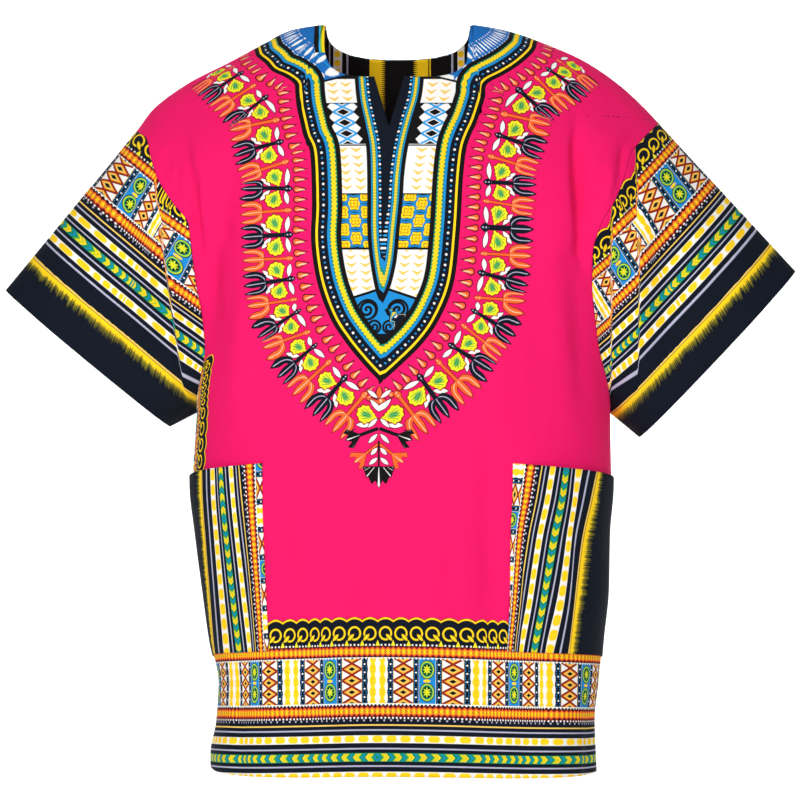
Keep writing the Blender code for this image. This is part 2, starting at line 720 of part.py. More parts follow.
def make_sleeve(name, side, collection):
    """A sleeve: an oval tube from the armhole to the cuff, cut slantwise where it joins the body."""
    points = sleeve_grid(side)
    outward_step = points[1] - points[0]
    points[0] += SEAM_BACK * outward_step / np.linalg.norm(outward_step, axis=-1, keepdims=True)
    middle = points[:, :-1].mean(axis=(0, 1))
    direction = points[-1, :-1].mean(axis=0) - points[0, :-1].mean(axis=0)
    direction /= np.linalg.norm(direction)

    def from_axis(point):
        away = np.array(point) - middle
        away -= direction * away.dot(direction)
        return type(point)(away)

    mesh = grid_mesh(points, closed=True)
    turn_outward(mesh, from_axis)
    make_cloth(name, mesh, WALL, NAVY_BORDER, collection)


def clear_scene():
    """Remove whatever the scene holds at the start."""
    for piece in list(bpy.data.objects):
        bpy.data.objects.remove(piece, do_unlink=True)


def main():
    """Build every piece of the shirt."""
    clear_scene()
    collection = bpy.data.collections.new("dashiki_shirt")
    bpy.context.scene.collection.children.link(collection)
    back = make_back(collection)
    left, right = make_front(collection)
    make_sleeve("sleeve_left", LEFT, collection)
    make_sleeve("sleeve_right", RIGHT, collection)
    make_pocket("pocket_left", left, collection)
    make_pocket("pocket_right", right, collection)
    make_facing(back, collection)


main()
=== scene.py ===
"""The looks of a dashiki shirt of printed cotton, filled out as if worn by nobody.

The cloth is built on the same body sections, armholes and cuffs as the solids, on a finer grid with
more creases. The print is drawn by formulas on coordinates in millimetres that each cloth carries:
along and out across the banded border, across and down the yoke, and along the ring of flowers.
"""

import logging
import math
from dataclasses import dataclass, field
from enum import Enum
from typing import NamedTuple, Sequence

import bpy
import numpy as np
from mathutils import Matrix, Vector, kdtree


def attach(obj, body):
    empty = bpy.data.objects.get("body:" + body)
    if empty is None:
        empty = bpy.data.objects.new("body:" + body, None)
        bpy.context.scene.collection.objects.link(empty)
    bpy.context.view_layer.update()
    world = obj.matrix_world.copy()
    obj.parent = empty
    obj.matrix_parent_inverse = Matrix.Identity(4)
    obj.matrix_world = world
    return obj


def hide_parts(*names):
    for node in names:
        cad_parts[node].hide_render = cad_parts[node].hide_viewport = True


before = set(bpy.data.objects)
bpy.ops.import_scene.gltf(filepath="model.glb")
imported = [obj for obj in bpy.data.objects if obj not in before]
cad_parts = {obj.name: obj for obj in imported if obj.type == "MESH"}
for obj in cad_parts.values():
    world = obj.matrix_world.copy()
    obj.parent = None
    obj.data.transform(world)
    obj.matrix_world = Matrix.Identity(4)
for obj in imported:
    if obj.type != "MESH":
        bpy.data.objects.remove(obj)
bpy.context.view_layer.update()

log = logging.getLogger("dashiki")

MM = 0.001
SENSOR_WIDTH = 36.0


class Side(Enum):
    """The wearer's right is the viewer's left."""

    LEFT = -1
    RIGHT = 1


class Face(Enum):
    """The two body panels."""

    FRONT = -1
    BACK = 1


class Section(NamedTuple):
    """One horizontal section of the body, in metres."""

    height: float
    left: float
    right: float
    front: float
    back: float
    centre: float
    squareness: float


# The same sections as the solids have
SECTIONS = (
    Section(-0.745, 0.189, 0.193, 0.141, 0.126, -0.023, 3.3),
    Section(-0.722, 0.189, 0.192, 0.141, 0.125, -0.023, 3.3),
    Section(-0.690, 0.183, 0.191, 0.140, 0.123, -0.023, 3.2),
    Section(-0.654, 0.181, 0.195, 0.140, 0.120, -0.023, 3.1),
    Section(-0.610, 0.190, 0.199, 0.140, 0.119, -0.023, 3.0),
    Section(-0.560, 0.197, 0.204, 0.142, 0.118, -0.023, 2.9),
    Section(-0.504, 0.204, 0.205, 0.144, 0.116, -0.023, 2.8),
    Section(-0.460, 0.208, 0.208, 0.146, 0.116, -0.022, 2.75),
    Section(-0.404, 0.205, 0.207, 0.149, 0.120, -0.022, 2.7),
    Section(-0.386, 0.204, 0.207, 0.149, 0.121, -0.022, 2.65),
    Section(-0.350, 0.206, 0.208, 0.150, 0.123, -0.021, 2.55),
    Section(-0.300, 0.213, 0.213, 0.150, 0.125, -0.019, 2.45),
    Section(-0.262, 0.228, 0.226, 0.147, 0.125, -0.017, 2.40),
    Section(-0.230, 0.251, 0.249, 0.144, 0.125, -0.0155, 2.35),
    Section(-0.200, 0.284, 0.286, 0.140, 0.124, -0.014, 2.30),
    Section(-0.177, 0.300, 0.303, 0.134, 0.122, -0.013, 2.30),
    Section(-0.152, 0.300, 0.303, 0.127, 0.119, -0.0125, 2.30),
    Section(-0.135, 0.289, 0.289, 0.121, 0.116, -0.0125, 2.30),
    Section(-0.105, 0.264, 0.262, 0.107, 0.111, -0.0125, 2.25),
    Section(-0.085, 0.249, 0.244, 0.094, 0.103, -0.0125, 2.25),
    Section(-0.060, 0.216, 0.217, 0.080, 0.092, -0.0125, 2.25),
    Section(-0.036, 0.170, 0.182, 0.066, 0.080, -0.011, 2.20),
    Section(-0.018, 0.137, 0.141, 0.055, 0.067, -0.008, 2.20),
    Section(-0.006, 0.113, 0.105, 0.047, 0.051, -0.005, 2.20),
    Section(0.000, 0.076, 0.068, 0.040, 0.040, -0.004, 2.20),
)


class ArmholePoint(NamedTuple):
    """Where the armhole seam crosses one height: its distance from the middle of the body."""

    height: float
    left_front: float
    right_front: float
    left_back: float
    right_back: float


ARMHOLE = (
    ArmholePoint(-0.386, 0.2040, 0.2070, 0.2040, 0.2070),
    ArmholePoint(-0.380, 0.2037, 0.2066, 0.2037, 0.2066),
    ArmholePoint(-0.372, 0.2020, 0.2050, 0.2022, 0.2050),
    ArmholePoint(-0.350, 0.196, 0.199, 0.195, 0.197),
    ArmholePoint(-0.327, 0.191, 0.192, 0.189, 0.191),
    ArmholePoint(-0.290, 0.194, 0.186, 0.190, 0.191),
    ArmholePoint(-0.262, 0.199, 0.183, 0.194, 0.195),
    ArmholePoint(-0.235, 0.202, 0.183, 0.198, 0.199),
    ArmholePoint(-0.205, 0.205, 0.191, 0.205, 0.206),
    ArmholePoint(-0.185, 0.220, 0.203, 0.213, 0.213),
    ArmholePoint(-0.160, 0.236, 0.214, 0.224, 0.223),
    ArmholePoint(-0.135, 0.245, 0.222, 0.238, 0.236),
    ArmholePoint(-0.118, 0.250, 0.236, 0.250, 0.246),
    ArmholePoint(-0.105, 0.264, 0.249, 0.264, 0.254),
    ArmholePoint(-0.098, 0.264, 0.2555, 0.264, 0.2555),
)


class ShoulderPoint(NamedTuple):
    """Where the shoulder seam meets the sleeve."""

    height: float
    reach: float


SHOULDER_POINTS = {Side.LEFT: ShoulderPoint(-0.105, 0.264), Side.RIGHT: ShoulderPoint(-0.098, 0.2555)}


class CuffCorners(NamedTuple):
    """The sleeve's open end: its upper and lower corner in the front view."""

    top_x: float
    top_z: float
    bottom_x: float
    bottom_z: float


CUFFS = {
    Side.LEFT: CuffCorners(-0.3955, -0.2640, -0.2315, -0.4005),
    Side.RIGHT: CuffCorners(0.3925, -0.2450, 0.2370, -0.4110),
}

HEM_RISES = {Side.LEFT: 0.019, Side.RIGHT: 0.009}


class Fold(NamedTuple):
    """A soft ridge, or a trough where its height is negative, along a line in the front view."""

    top_x: float
    top_z: float
    bottom_x: float
    bottom_z: float
    width: float
    height: float


FOLDS = {
    Face.FRONT: (
        Fold(-0.190, -0.090, -0.205, -0.240, 0.016, 0.0060),
        Fold(-0.212, -0.110, -0.226, -0.215, 0.010, -0.0045),
        Fold(-0.160, -0.110, -0.190, -0.300, 0.014, -0.0070),
        Fold(-0.128, -0.150, -0.168, -0.420, 0.020, 0.0050),
        Fold(0.170, -0.110, 0.192, -0.260, 0.014, -0.0070),
        Fold(0.205, -0.100, 0.205, -0.215, 0.014, 0.0060),
        Fold(0.135, -0.150, 0.165, -0.420, 0.020, 0.0050),
        Fold(-0.160, -0.600, -0.158, -0.860, 0.020, 0.0050),
        Fold(-0.090, -0.560, -0.078, -0.880, 0.020, -0.0065),
        Fold(-0.020, -0.560, -0.024, -0.880, 0.034, 0.0050),
        Fold(0.092, -0.380, 0.078, -0.900, 0.024, -0.0045),
        Fold(0.150, -0.560, 0.148, -0.880, 0.022, 0.0045),
    ),
    Face.BACK: (
        Fold(-0.150, -0.100, -0.180, -0.330, 0.018, -0.0065),
        Fold(-0.185, -0.110, -0.190, -0.280, 0.014, 0.0050),
        Fold(0.152, -0.110, 0.178, -0.350, 0.018, -0.0065),
        Fold(0.188, -0.120, 0.190, -0.290, 0.014, 0.0050),
        Fold(-0.100, -0.420, -0.110, -0.900, 0.026, 0.0055),
        Fold(-0.030, -0.500, -0.026, -0.900, 0.022, -0.0055),
        Fold(0.060, -0.440, 0.070, -0.900, 0.026, 0.0055),
        Fold(0.125, -0.520, 0.132, -0.900, 0.020, -0.0045),
    ),
}
SLEEVE_FOLDS = {
    (Side.LEFT, Face.FRONT): (
        Fold(-0.240, -0.180, -0.217, -0.400, 0.014, 0.0090),
        Fold(-0.268, -0.170, -0.262, -0.400, 0.016, -0.0060),
        Fold(-0.330, -0.160, -0.345, -0.360, 0.022, 0.0040),
    ),
    (Side.RIGHT, Face.FRONT): (
        Fold(0.232, -0.150, 0.228, -0.400, 0.013, 0.0080),
        Fold(0.256, -0.140, 0.262, -0.400, 0.014, -0.0050),
        Fold(0.325, -0.150, 0.340, -0.360, 0.022, 0.0040),
    ),
    (Side.LEFT, Face.BACK): (
        Fold(-0.235, -0.180, -0.225, -0.400, 0.016, 0.0070),
        Fold(-0.290, -0.160, -0.290, -0.400, 0.020, -0.0045),
    ),
    (Side.RIGHT, Face.BACK): (
        Fold(0.235, -0.170, 0.225, -0.400, 0.016, 0.0070),
        Fold(0.292, -0.150, 0.292, -0.400, 0.020, -0.0045),
    ),
}

# Creases too fine for the solids, a few millimetres deep but for the two beside the armholes
CREASES = {
    Face.FRONT: (
        Fold(-0.228, -0.125, -0.229, -0.165, 0.006, -0.0037),
        Fold(-0.207, -0.120, -0.194, -0.250, 0.006, -0.0095),
        Fold(-0.197, -0.145, -0.194, -0.185, 0.004, -0.0034),
        Fold(-0.188, -0.205, -0.180, -0.330, 0.009, -0.0044),
        Fold(-0.150, -0.240, -0.160, -0.420, 0.012, 0.0031),
        Fold(0.170, -0.085, 0.174, -0.260, 0.007, -0.0120),
        Fold(0.195, -0.135, 0.196, -0.190, 0.007, 0.0041),
        Fold(0.213, -0.125, 0.212, -0.165, 0.005, -0.0037),
        Fold(0.160, -0.230, 0.176, -0.400, 0.010, -0.0034),
        Fold(-0.120, -0.420, -0.105, -0.640, 0.014, -0.0027),
        Fold(-0.052, -0.480, -0.060, -0.700, 0.012, 0.0024),
        Fold(0.040, -0.440, 0.054, -0.700, 0.014, -0.0024),
        Fold(0.100, -0.440, 0.094, -0.640, 0.010, 0.0024),
        Fold(-0.154, -0.600, -0.153, -0.860, 0.007, -0.0046),
        Fold(-0.081, -0.620, -0.080, -0.860, 0.008, 0.0026),
        Fold(-0.066, -0.600, -0.064, -0.860, 0.008, -0.0040),
        Fold(0.080, -0.400, 0.092, -0.640, 0.012, -0.0034),
        Fold(-0.216, -0.165, -0.150, -0.230, 0.008, -0.0030),
        Fold(0.206, -0.190, 0.140, -0.260, 0.009, -0.0030),
        Fold(0.020, -0.660, 0.016, -0.850, 0.009, 0.0024),
        Fold(0.118, -0.640, 0.116, -0.850, 0.008, -0.0031),
        Fold(0.180, -0.640, 0.181, -0.850, 0.006, -0.0041),
    ),
    Face.BACK: (
        Fold(-0.120, -0.140, -0.150, -0.360, 0.010, -0.0044),
        Fold(-0.196, -0.130, -0.200, -0.200, 0.006, -0.0041),
        Fold(0.118, -0.150, 0.146, -0.380, 0.010, -0.0044),
        Fold(0.200, -0.130, 0.199, -0.200, 0.006, -0.0037),
        Fold(-0.060, -0.220, -0.066, -0.420, 0.014, 0.0031),
        Fold(0.050, -0.240, 0.060, -0.430, 0.014, 0.0031),
        Fold(-0.140, -0.560, -0.146, -0.850, 0.010, -0.0041),
        Fold(-0.060, -0.560, -0.058, -0.850, 0.009, 0.0034),
        Fold(0.020, -0.600, 0.022, -0.850, 0.008, -0.0037),
        Fold(0.095, -0.600, 0.094, -0.850, 0.008, 0.0034),
        Fold(0.160, -0.620, 0.160, -0.850, 0.008, -0.0037),
    ),
}


def named_column(rows: Sequence[NamedTuple], name: str) -> np.ndarray:
    """One named column of a table as an array."""
    return np.array([getattr(row, name) for row in rows], dtype=float)


def smooth_lookup(places: np.ndarray, values: np.ndarray, at: np.ndarray) -> np.ndarray:
    """A smooth curve through a table's values that never swings past them.

    Args:
        places: The table's places, rising.
        values: The value at each place.
        at: Where values are wanted.

    Returns:
        The value at each wanted place.
    """
    steps = np.diff(places)
    rises = np.diff(values) / steps
    slopes = np.zeros(len(places))
    same_way = rises[:-1] * rises[1:] > 0.0
    total = np.where(same_way, rises[:-1] + rises[1:], 1.0)
    slopes[1:-1] = np.where(same_way, 2.0 * rises[:-1] * rises[1:] / total, 0.0)
    slopes[0], slopes[-1] = rises[0], rises[-1]
    at = np.clip(np.asarray(at, dtype=float), places[0], places[-1])
    cell = np.clip(np.searchsorted(places, at, side="right") - 1, 0, len(steps) - 1)
    span = steps[cell]
    part = (at - places[cell]) / span
    start = (1.0 + 2.0 * part) * (1.0 - part) ** 2 * values[cell]
    start_slope = part * (1.0 - part) ** 2 * span * slopes[cell]
    end = part**2 * (3.0 - 2.0 * part) * values[cell + 1]
    end_slope = part**2 * (part - 1.0) * span * slopes[cell + 1]
    return start + start_slope + end + end_slope


def smooth_step(value: np.ndarray) -> np.ndarray:
    """0 below 0, 1 above 1, and an even rise between."""
    value = np.clip(value, 0.0, 1.0)
    return value * value * (3.0 - 2.0 * value)


def lookup_each(keys: np.ndarray, values: np.ndarray, wanted: np.ndarray) -> np.ndarray:
    """Straight lookup with a table of keys of its own for each wanted value.

    Args:
        keys: One rising row of keys for each wanted value.
        values: The values that go with the keys.
        wanted: The key to look up in each row.

    Returns:
        The value found in each row.
    """
    cell = np.clip((keys <= wanted[:, None]).sum(axis=1) - 1, 0, keys.shape[1] - 2)
    row = np.arange(len(wanted))
    span = keys[row, cell + 1] - keys[row, cell]
    part = np.clip((wanted - keys[row, cell]) / np.where(span > 0.0, span, 1.0), 0.0, 1.0)
    return values[row, cell] * (1.0 - part) + values[row, cell + 1] * part


def fold_height(folds: Sequence[Fold], points: np.ndarray) -> np.ndarray:
    """How far folds lift or sink each point of a grid.

    Args:
        folds: The folds, each a line in the front view.
        points: Grid points, the last axis x, y, z.

    Returns:
        The lift of each point, in metres.
    """
    height = np.zeros(points.shape[:-1])
    for fold in folds:
        run_x = fold.bottom_x - fold.top_x
        run_z = fold.bottom_z - fold.top_z
        length = math.hypot(run_x, run_z)
        right, up = points[..., 0] - fold.top_x, points[..., 2] - fold.top_z
        along = (right * run_x + up * run_z) / length**2
        aside = (right * run_z - up * run_x) / length
        fade = np.sin(math.pi * np.clip(along, 0.0, 1.0)) ** 1.2
        height += fold.height * np.exp(-((aside / fold.width) ** 2)) * fade
    return height


@dataclass(frozen=True)
class BodyForm:
    """The smooth body that both panels lie on, with the places of its seams and openings."""

    hem_centre_z: float = -0.7307
    neck_centre_x: float = -0.004
    neck_half_width: float = 0.072
    underarm_z: float = -0.386
    underarm_row: float = 0.3727
    neck_share: float = 0.30
    shoulder_spread: float = 0.75
    armhole_pull: float = 1.3
    front_neck_drop: float = 0.0605
    front_neck_squareness: float = 4.0
    back_neck_drop: float = 0.0245
    back_neck_squareness: float = 2.5
    hem_droop: float = 0.018
    side_droop: float = 0.0283
    side_droop_row: float = 0.29
    curve_samples: int = 65
    column_samples: int = 260
    least_column: float = 0.003

    def section_value(self, name: str, z: np.ndarray) -> np.ndarray:
        """One measure of the body's section at each height."""
        return smooth_lookup(named_column(SECTIONS, "height"), named_column(SECTIONS, name), z)

    def reach_name(self, side: Side) -> str:
        """The sections' column that holds a side's reach."""
        return "left" if side is Side.LEFT else "right"

    def section_sizes(self, face: Face, side: Side, z: np.ndarray) -> tuple[np.ndarray, ...]:
        """Centre, reach to the side, depth and the power of the section's curve.

        Args:
            face: Front or back.
            side: Left or right.
            z: Heights, in metres.

        Returns:
            Centre, reach, depth and power, one value of each for each height.
        """
        centre = self.section_value("centre", z) if face is Face.FRONT else np.zeros_like(z)
        reach = self.section_value(self.reach_name(side), z) - side.value * centre
        depth = self.section_value("front" if face is Face.FRONT else "back", z)
        return centre, reach, depth, 2.0 / self.section_value("squareness", z)

    def section_lengths(self, face: Face, side: Side, z: np.ndarray) -> tuple[np.ndarray, np.ndarray]:
        """Angles along a section from centre to side, and the share of the way that each has reached.

        Args:
            face: Front or back.
            side: Left or right.
            z: Heights, in metres.

        Returns:
            The angles, and for each height the share reached at each angle.
        """
        angles = np.linspace(0.0, math.pi / 2.0, self.curve_samples)
        _, reach, depth, power = self.section_sizes(face, side, z)
        across = reach[:, None] * np.sin(angles) ** power[:, None]
        along = depth[:, None] * np.cos(angles) ** power[:, None]
        along[:, -1] = 0.0
        pieces = np.hypot(np.diff(across, axis=1), np.diff(along, axis=1))
        lengths = np.concatenate([np.zeros((len(z), 1)), np.cumsum(pieces, axis=1)], axis=1)
        return angles, lengths / lengths[:, -1:]

    def point(self, face: Face, side: Side, share: np.ndarray, z: np.ndarray) -> np.ndarray:
        """A point of the smooth body, a share of the way round from the centre line to the side.

        Args:
            face: Front or back.
            side: Left or right.
            share: Shares of the way round from the centre line, from 0 to 1.
            z: Heights, in metres.

        Returns:
            The points.
        """
        angles, shares = self.section_lengths(face, side, z)
        angle = lookup_each(shares, np.broadcast_to(angles, shares.shape), share)
        centre, reach, depth, power = self.section_sizes(face, side, z)
        x = centre + side.value * reach * np.sin(angle) ** power
        y = face.value * depth * np.clip(np.cos(angle), 0.0, 1.0) ** power
        return np.stack([x, np.where(share >= 1.0, 0.0, y), z], axis=-1)

    def share_at(self, face: Face, side: Side, x: np.ndarray, z: np.ndarray) -> np.ndarray:
        """The share of the way round at which a section stands at x.

        Args:
            face: Front or back.
            side: Left or right.
            x: Places across, in metres.
            z: Heights, in metres.

        Returns:
            The shares, from 0 to 1.
        """
        angles, shares = self.section_lengths(face, side, z)
        centre, reach, _, power = self.section_sizes(face, side, z)
        part = np.clip((x - centre) * side.value / reach, 0.0, 1.0)
        angle = np.arcsin(part ** (1.0 / power))
        return lookup_each(np.broadcast_to(angles, shares.shape), shares, angle)

    def limit(self, face: Face, side: Side, z: np.ndarray) -> np.ndarray:
        """What the outermost column's share is at each height, over the side's own share.

        Args:
            face: Front or back.
            side: Left or right.
            z: Heights, in metres.

        Returns:
            The limit at each height.
        """
        top = SHOULDER_POINTS[side]
        name = self.reach_name(side) + ("_front" if face is Face.FRONT else "_back")
        low = np.minimum(z, top.height)
        distance = smooth_lookup(named_column(ARMHOLE, "height"), named_column(ARMHOLE, name), low)
        below = self.share_at(face, side, side.value * distance, low)
        below = np.where(z <= self.underarm_z, 1.0, np.minimum(below, 1.0))
        neck_reach = self.neck_half_width + side.value * self.neck_centre_x
        reach = self.section_value(self.reach_name(side), z)
        part = np.clip((reach - neck_reach) / (top.reach - neck_reach), 0.0, 1.0)
        at_seam = self.neck_share + (1.0 - self.neck_share) * part**self.shoulder_spread
        return np.where(z > top.height, 1.0 / at_seam, np.where(z >= top.height, 1.0, below))

    def panel_point(self, face: Face, side: Side, column: np.ndarray, z: np.ndarray) -> np.ndarray:
        """A point of a panel: its column runs from 0 at the centre line to 1 at its outer edge.

        Args:
            face: Front or back.
            side: Left or right.
            column: Columns, 0 at the centre line and 1 at the outer edge.
            z: Heights, in metres.

        Returns:
            The points.
        """
        limit = self.limit(face, side, z)
        pulled_in = column - (1.0 - limit) * column**self.armhole_pull
        share = np.clip(np.where(limit < 1.0, pulled_in, column * limit), 0.0, 1.0)
        return self.point(face, side, share, z)

    def neckline_height(self, face: Face, part: np.ndarray) -> np.ndarray:
        """The neckline's height, part of the way from its middle to the neck point.

        Args:
            face: Front or back.
            part: Shares of the way from the neckline's middle to the neck point.

        Returns:
            The heights, in metres.
        """
        front = face is Face.FRONT
        drop = self.front_neck_drop if front else self.back_neck_drop
        power = self.front_neck_squareness if front else self.back_neck_squareness
        return -drop * np.clip(1.0 - part**power, 0.0, 1.0) ** (1.0 / power)

    def neck_columns(self, face: Face, side: Side, count: int) -> tuple[np.ndarray, np.ndarray]:
        """Columns that end at points spread evenly along the neckline, and their top heights.

        Args:
            face: Front or back.
            side: Left or right.
            count: How many columns end on the neckline.

        Returns:
            The columns and their top heights.
        """
        centre_x = 0.0
        if face is Face.FRONT:
            centre_x = float(self.section_value("centre", np.array([-self.front_neck_drop]))[0])
        start = side.value * (centre_x - self.neck_centre_x) / self.neck_half_width
        parts = np.linspace(start, 1.0, 800)
        heights = self.neckline_height(face, np.abs(parts))
        x = self.neck_centre_x + side.value * self.neck_half_width * parts
        lengths = np.concatenate([[0.0], np.cumsum(np.hypot(np.diff(x), np.diff(heights)))])
        wanted = np.linspace(0.0, lengths[-1], count + 1)[:-1]
        top_x, top_z = np.interp(wanted, lengths, x), np.interp(wanted, lengths, heights)
        columns = self.share_at(face, side, top_x, top_z) / self.limit(face, side, top_z)
        columns[0] = 0.0
        ceiling = self.neck_share
        for number in reversed(range(1, count)):
            ceiling = columns[number] = min(columns[number], ceiling - self.least_column)
        return columns, top_z

    def shoulder_tops(self, side: Side, columns: np.ndarray) -> np.ndarray:
        """Heights at which shoulder columns end on the shoulder seam.

        Args:
            side: Left or right.
            columns: The columns that end on the shoulder seam.

        Returns:
            The heights, in metres.
        """
        top = SHOULDER_POINTS[side]
        neck_reach = self.neck_half_width + side.value * self.neck_centre_x
        heights = np.linspace(top.height, 0.0, 800)
        reach = self.section_value(self.reach_name(side), heights)
        part = (columns - self.neck_share) / (1.0 - self.neck_share)
        wanted = neck_reach + part ** (1.0 / self.shoulder_spread) * (top.reach - neck_reach)
        return np.interp(wanted, reach[::-1], heights[::-1])

    def row_height(self, row: np.ndarray, column: np.ndarray) -> np.ndarray:
        """The height of a place on the cloth, its row measured up from the hem's middle."""
        droop = np.interp(row, (0.0, self.side_droop_row), (self.hem_droop, self.side_droop))
        return self.hem_centre_z + row - droop * column**2


@dataclass(frozen=True)
class PanelGrid:
    """How finely the panels are divided, and the pocket's place on them."""

    neck_columns: int = 28
    shoulder_columns: int = 68
    rows_below_pocket: int = 36
    rows_along_pocket: int = 54
    rows_to_underarm: int = 21
    rows_above: int = 112
    pocket_bottom_row: float = 0.1215
    pocket_top_row: float = 0.3015
    pocket_inner: float = 0.405
    pocket_outer: float = 0.940

    def shares(self) -> np.ndarray:
        """Shoulder columns from the neck point to the side, with one on each edge of the pocket.

        Returns:
            The columns, rising.
        """
        start = BODY.neck_share
        spans = ((start, self.pocket_inner), (self.pocket_inner, self.pocket_outer), (self.pocket_outer, 1.0))
        columns = [np.array([start])]
        for low, high in spans:
            count = max(2, round((high - low) / (1.0 - start) * self.shoulder_columns))
            columns.append(np.linspace(low, high, count + 1)[1:])
        return np.concatenate(columns)


BODY = BodyForm()
GRID = PanelGrid()
SLIT_POINT_Z = -0.1116
SLIT_HALF_WIDTH = 0.0144
CLOTH_WALL = 0.0008
# How much of a direction out of the body is upwards, beside its distance from the middle, in metres
UPWARD_PART = 0.02
SEAM_BACK = 0.0003


@dataclass
class HalfPanel:
    """One half of a body panel as a grid: rows from the hem up, columns from the centre out."""

    face: Face
    side: Side
    seam_fold_share: float = 0.16
    top_fold_reach: float = 0.06
    seam_crease_share: float = 0.05
    top_crease_reach: float = 0.03
    sideways_lift: float = 0.4
    points: np.ndarray = field(init=False)
    columns: np.ndarray = field(init=False)
    rows: np.ndarray = field(init=False)

    def __post_init__(self) -> None:
        """Work out the grid with its folds."""
        neck, neck_tops = BODY.neck_columns(self.face, self.side, GRID.neck_columns)
        shares = GRID.shares()
        self.columns = np.concatenate([neck, shares])
        tops = np.concatenate([neck_tops, BODY.shoulder_tops(self.side, shares)])
        grid, heights_up = [], []
        for column, top_z in zip(self.columns, tops):
            points, rows = self.column_points(column, top_z)
            grid.append(points)
            heights_up.append(rows)
        self.points = np.array(grid).transpose(1, 0, 2)
        self.rows = np.array(heights_up).T
        self.press_folds()
        if self.face is Face.FRONT:
            self.open_slit()

    def lower_rows(self, column: float) -> np.ndarray:
        """Places of a column's rows up the cloth, from the hem to the underarm row.

        Args:
            column: The column, 0 at the centre line and 1 at the outer edge.

        Returns:
            Places up the cloth, in metres.
        """
        hem = HEM_RISES[self.side] * column**3
        spans = (
            (hem, GRID.pocket_bottom_row, GRID.rows_below_pocket),
            (GRID.pocket_bottom_row, GRID.pocket_top_row, GRID.rows_along_pocket),
            (GRID.pocket_top_row, BODY.underarm_row, GRID.rows_to_underarm),
        )
        parts = [np.linspace(low, high, count + 1)[:-1] for low, high, count in spans]
        return np.concatenate(parts + [[BODY.underarm_row]])

    def column_points(self, column: float, top_z: float) -> tuple[np.ndarray, np.ndarray]:
        """Points of one column from the hem to its top, and how far up the cloth each one is.

        Args:
            column: The column, 0 at the centre line and 1 at the outer edge.
            top_z: The height at which the column ends.

        Returns:
            The column's points and their places up the cloth.
        """
        low = self.lower_rows(column)
        low_z = BODY.row_height(low, np.full_like(low, column))
        samples = np.linspace(1.0, 0.0, BODY.column_samples)
        heights = top_z - (top_z - low_z[-1]) * samples**2
        track = BODY.panel_point(self.face, self.side, np.full_like(heights, column), heights)
        lengths = np.concatenate([[0.0], np.cumsum(np.linalg.norm(np.diff(track, axis=0), axis=1))])
        wanted = np.linspace(0.0, lengths[-1], GRID.rows_above + 1)[1:]
        if column == 0.0 and self.face is Face.FRONT:
            slit = float(np.interp(SLIT_POINT_Z, heights, lengths))
            nearest = int(np.abs(wanted - slit).argmin())
            low_part = np.linspace(0.0, slit, nearest + 2)[1:]
            high_part = np.linspace(slit, lengths[-1], len(wanted) - nearest)[1:]
            wanted = np.concatenate([low_part, high_part])
        upper = np.interp(wanted, lengths, heights)
        upper[-1] = top_z
        z = np.concatenate([low_z, upper])
        points = BODY.panel_point(self.face, self.side, np.full_like(z, column), z)
        return points, np.concatenate([low, low[-1] + wanted])

    def press_folds(self) -> None:
        """Press the folds and creases in, fading before the seams."""
        lift = fold_height(FOLDS[self.face], self.points)
        to_top = np.linalg.norm(self.points - self.points[-1:], axis=-1)
        to_seam = (1.0 - self.columns)[None, :]
        fade = smooth_step(to_seam / self.seam_fold_share) * smooth_step(to_top / self.top_fold_reach)
        fine = fold_height(CREASES[self.face], self.points)
        near_seam = smooth_step(to_seam / self.seam_crease_share)
        near_seam = near_seam * smooth_step(to_top / self.top_crease_reach)
        away = self.points.copy()
        away[..., 0] *= self.sideways_lift
        away[..., 2] = UPWARD_PART
        away /= np.linalg.norm(away, axis=-1, keepdims=True)
        self.points += away * (lift * fade + fine * near_seam)[..., None]

    def open_slit(self) -> None:
        """Draw the half back from the centre line, above the slit's point."""
        centre_z = self.points[:, 0, 2]
        opening = np.clip((centre_z - SLIT_POINT_Z) / (-BODY.front_neck_drop - SLIT_POINT_Z), 0.0, 1.0)
        near = np.clip(1.0 - self.columns / BODY.neck_share, 0.0, 1.0) ** 1.5
        self.points[..., 0] += self.side.value * SLIT_HALF_WIDTH * opening[:, None] * near[None, :]

    def sewn(self) -> np.ndarray:
        """The points, with side, armhole and shoulder edges a hair back from their seam lines.

        Returns:
            The points of the sewn cloth.
        """
        points = self.points.copy()
        inward = points[:, -2] - points[:, -1]
        points[:, -1] += SEAM_BACK * inward / np.linalg.norm(inward, axis=-1, keepdims=True)
        first = GRID.neck_columns
        down = points[-2, first:] - points[-1, first:]
        points[-1, first:] += SEAM_BACK * down / np.linalg.norm(down, axis=-1, keepdims=True)
        return points


def grid_normals(points: np.ndarray, outward: np.ndarray) -> np.ndarray:
    """Unit normals of a grid, each the mean of the faces round its point, on the outward side.

    Args:
        points: Points, the last axis x, y, z.
        outward: A direction to the outer side at each point.

    Returns:
        A unit normal for each point.
    """
    faces = np.cross(points[1:, 1:] - points[:-1, :-1], points[1:, :-1] - points[:-1, 1:])
    faces /= np.maximum(np.linalg.norm(faces, axis=-1, keepdims=True), 1e-12)
    normals = np.zeros_like(points)
    for row_end in (slice(0, -1), slice(1, None)):
        for column_end in (slice(0, -1), slice(1, None)):
            normals[row_end, column_end] += faces
    normals /= np.maximum(np.linalg.norm(normals, axis=-1, keepdims=True), 1e-12)
    flip = np.sign((normals * outward).sum(axis=-1, keepdims=True))
    return normals * np.where(flip == 0.0, 1.0, flip)


def deselect_all() -> None:
    """Leave object mode with nothing selected."""
    if bpy.context.object and bpy.context.object.mode != "OBJECT":
        bpy.ops.object.mode_set(mode="OBJECT")
    bpy.ops.object.select_all(action="DESELECT")


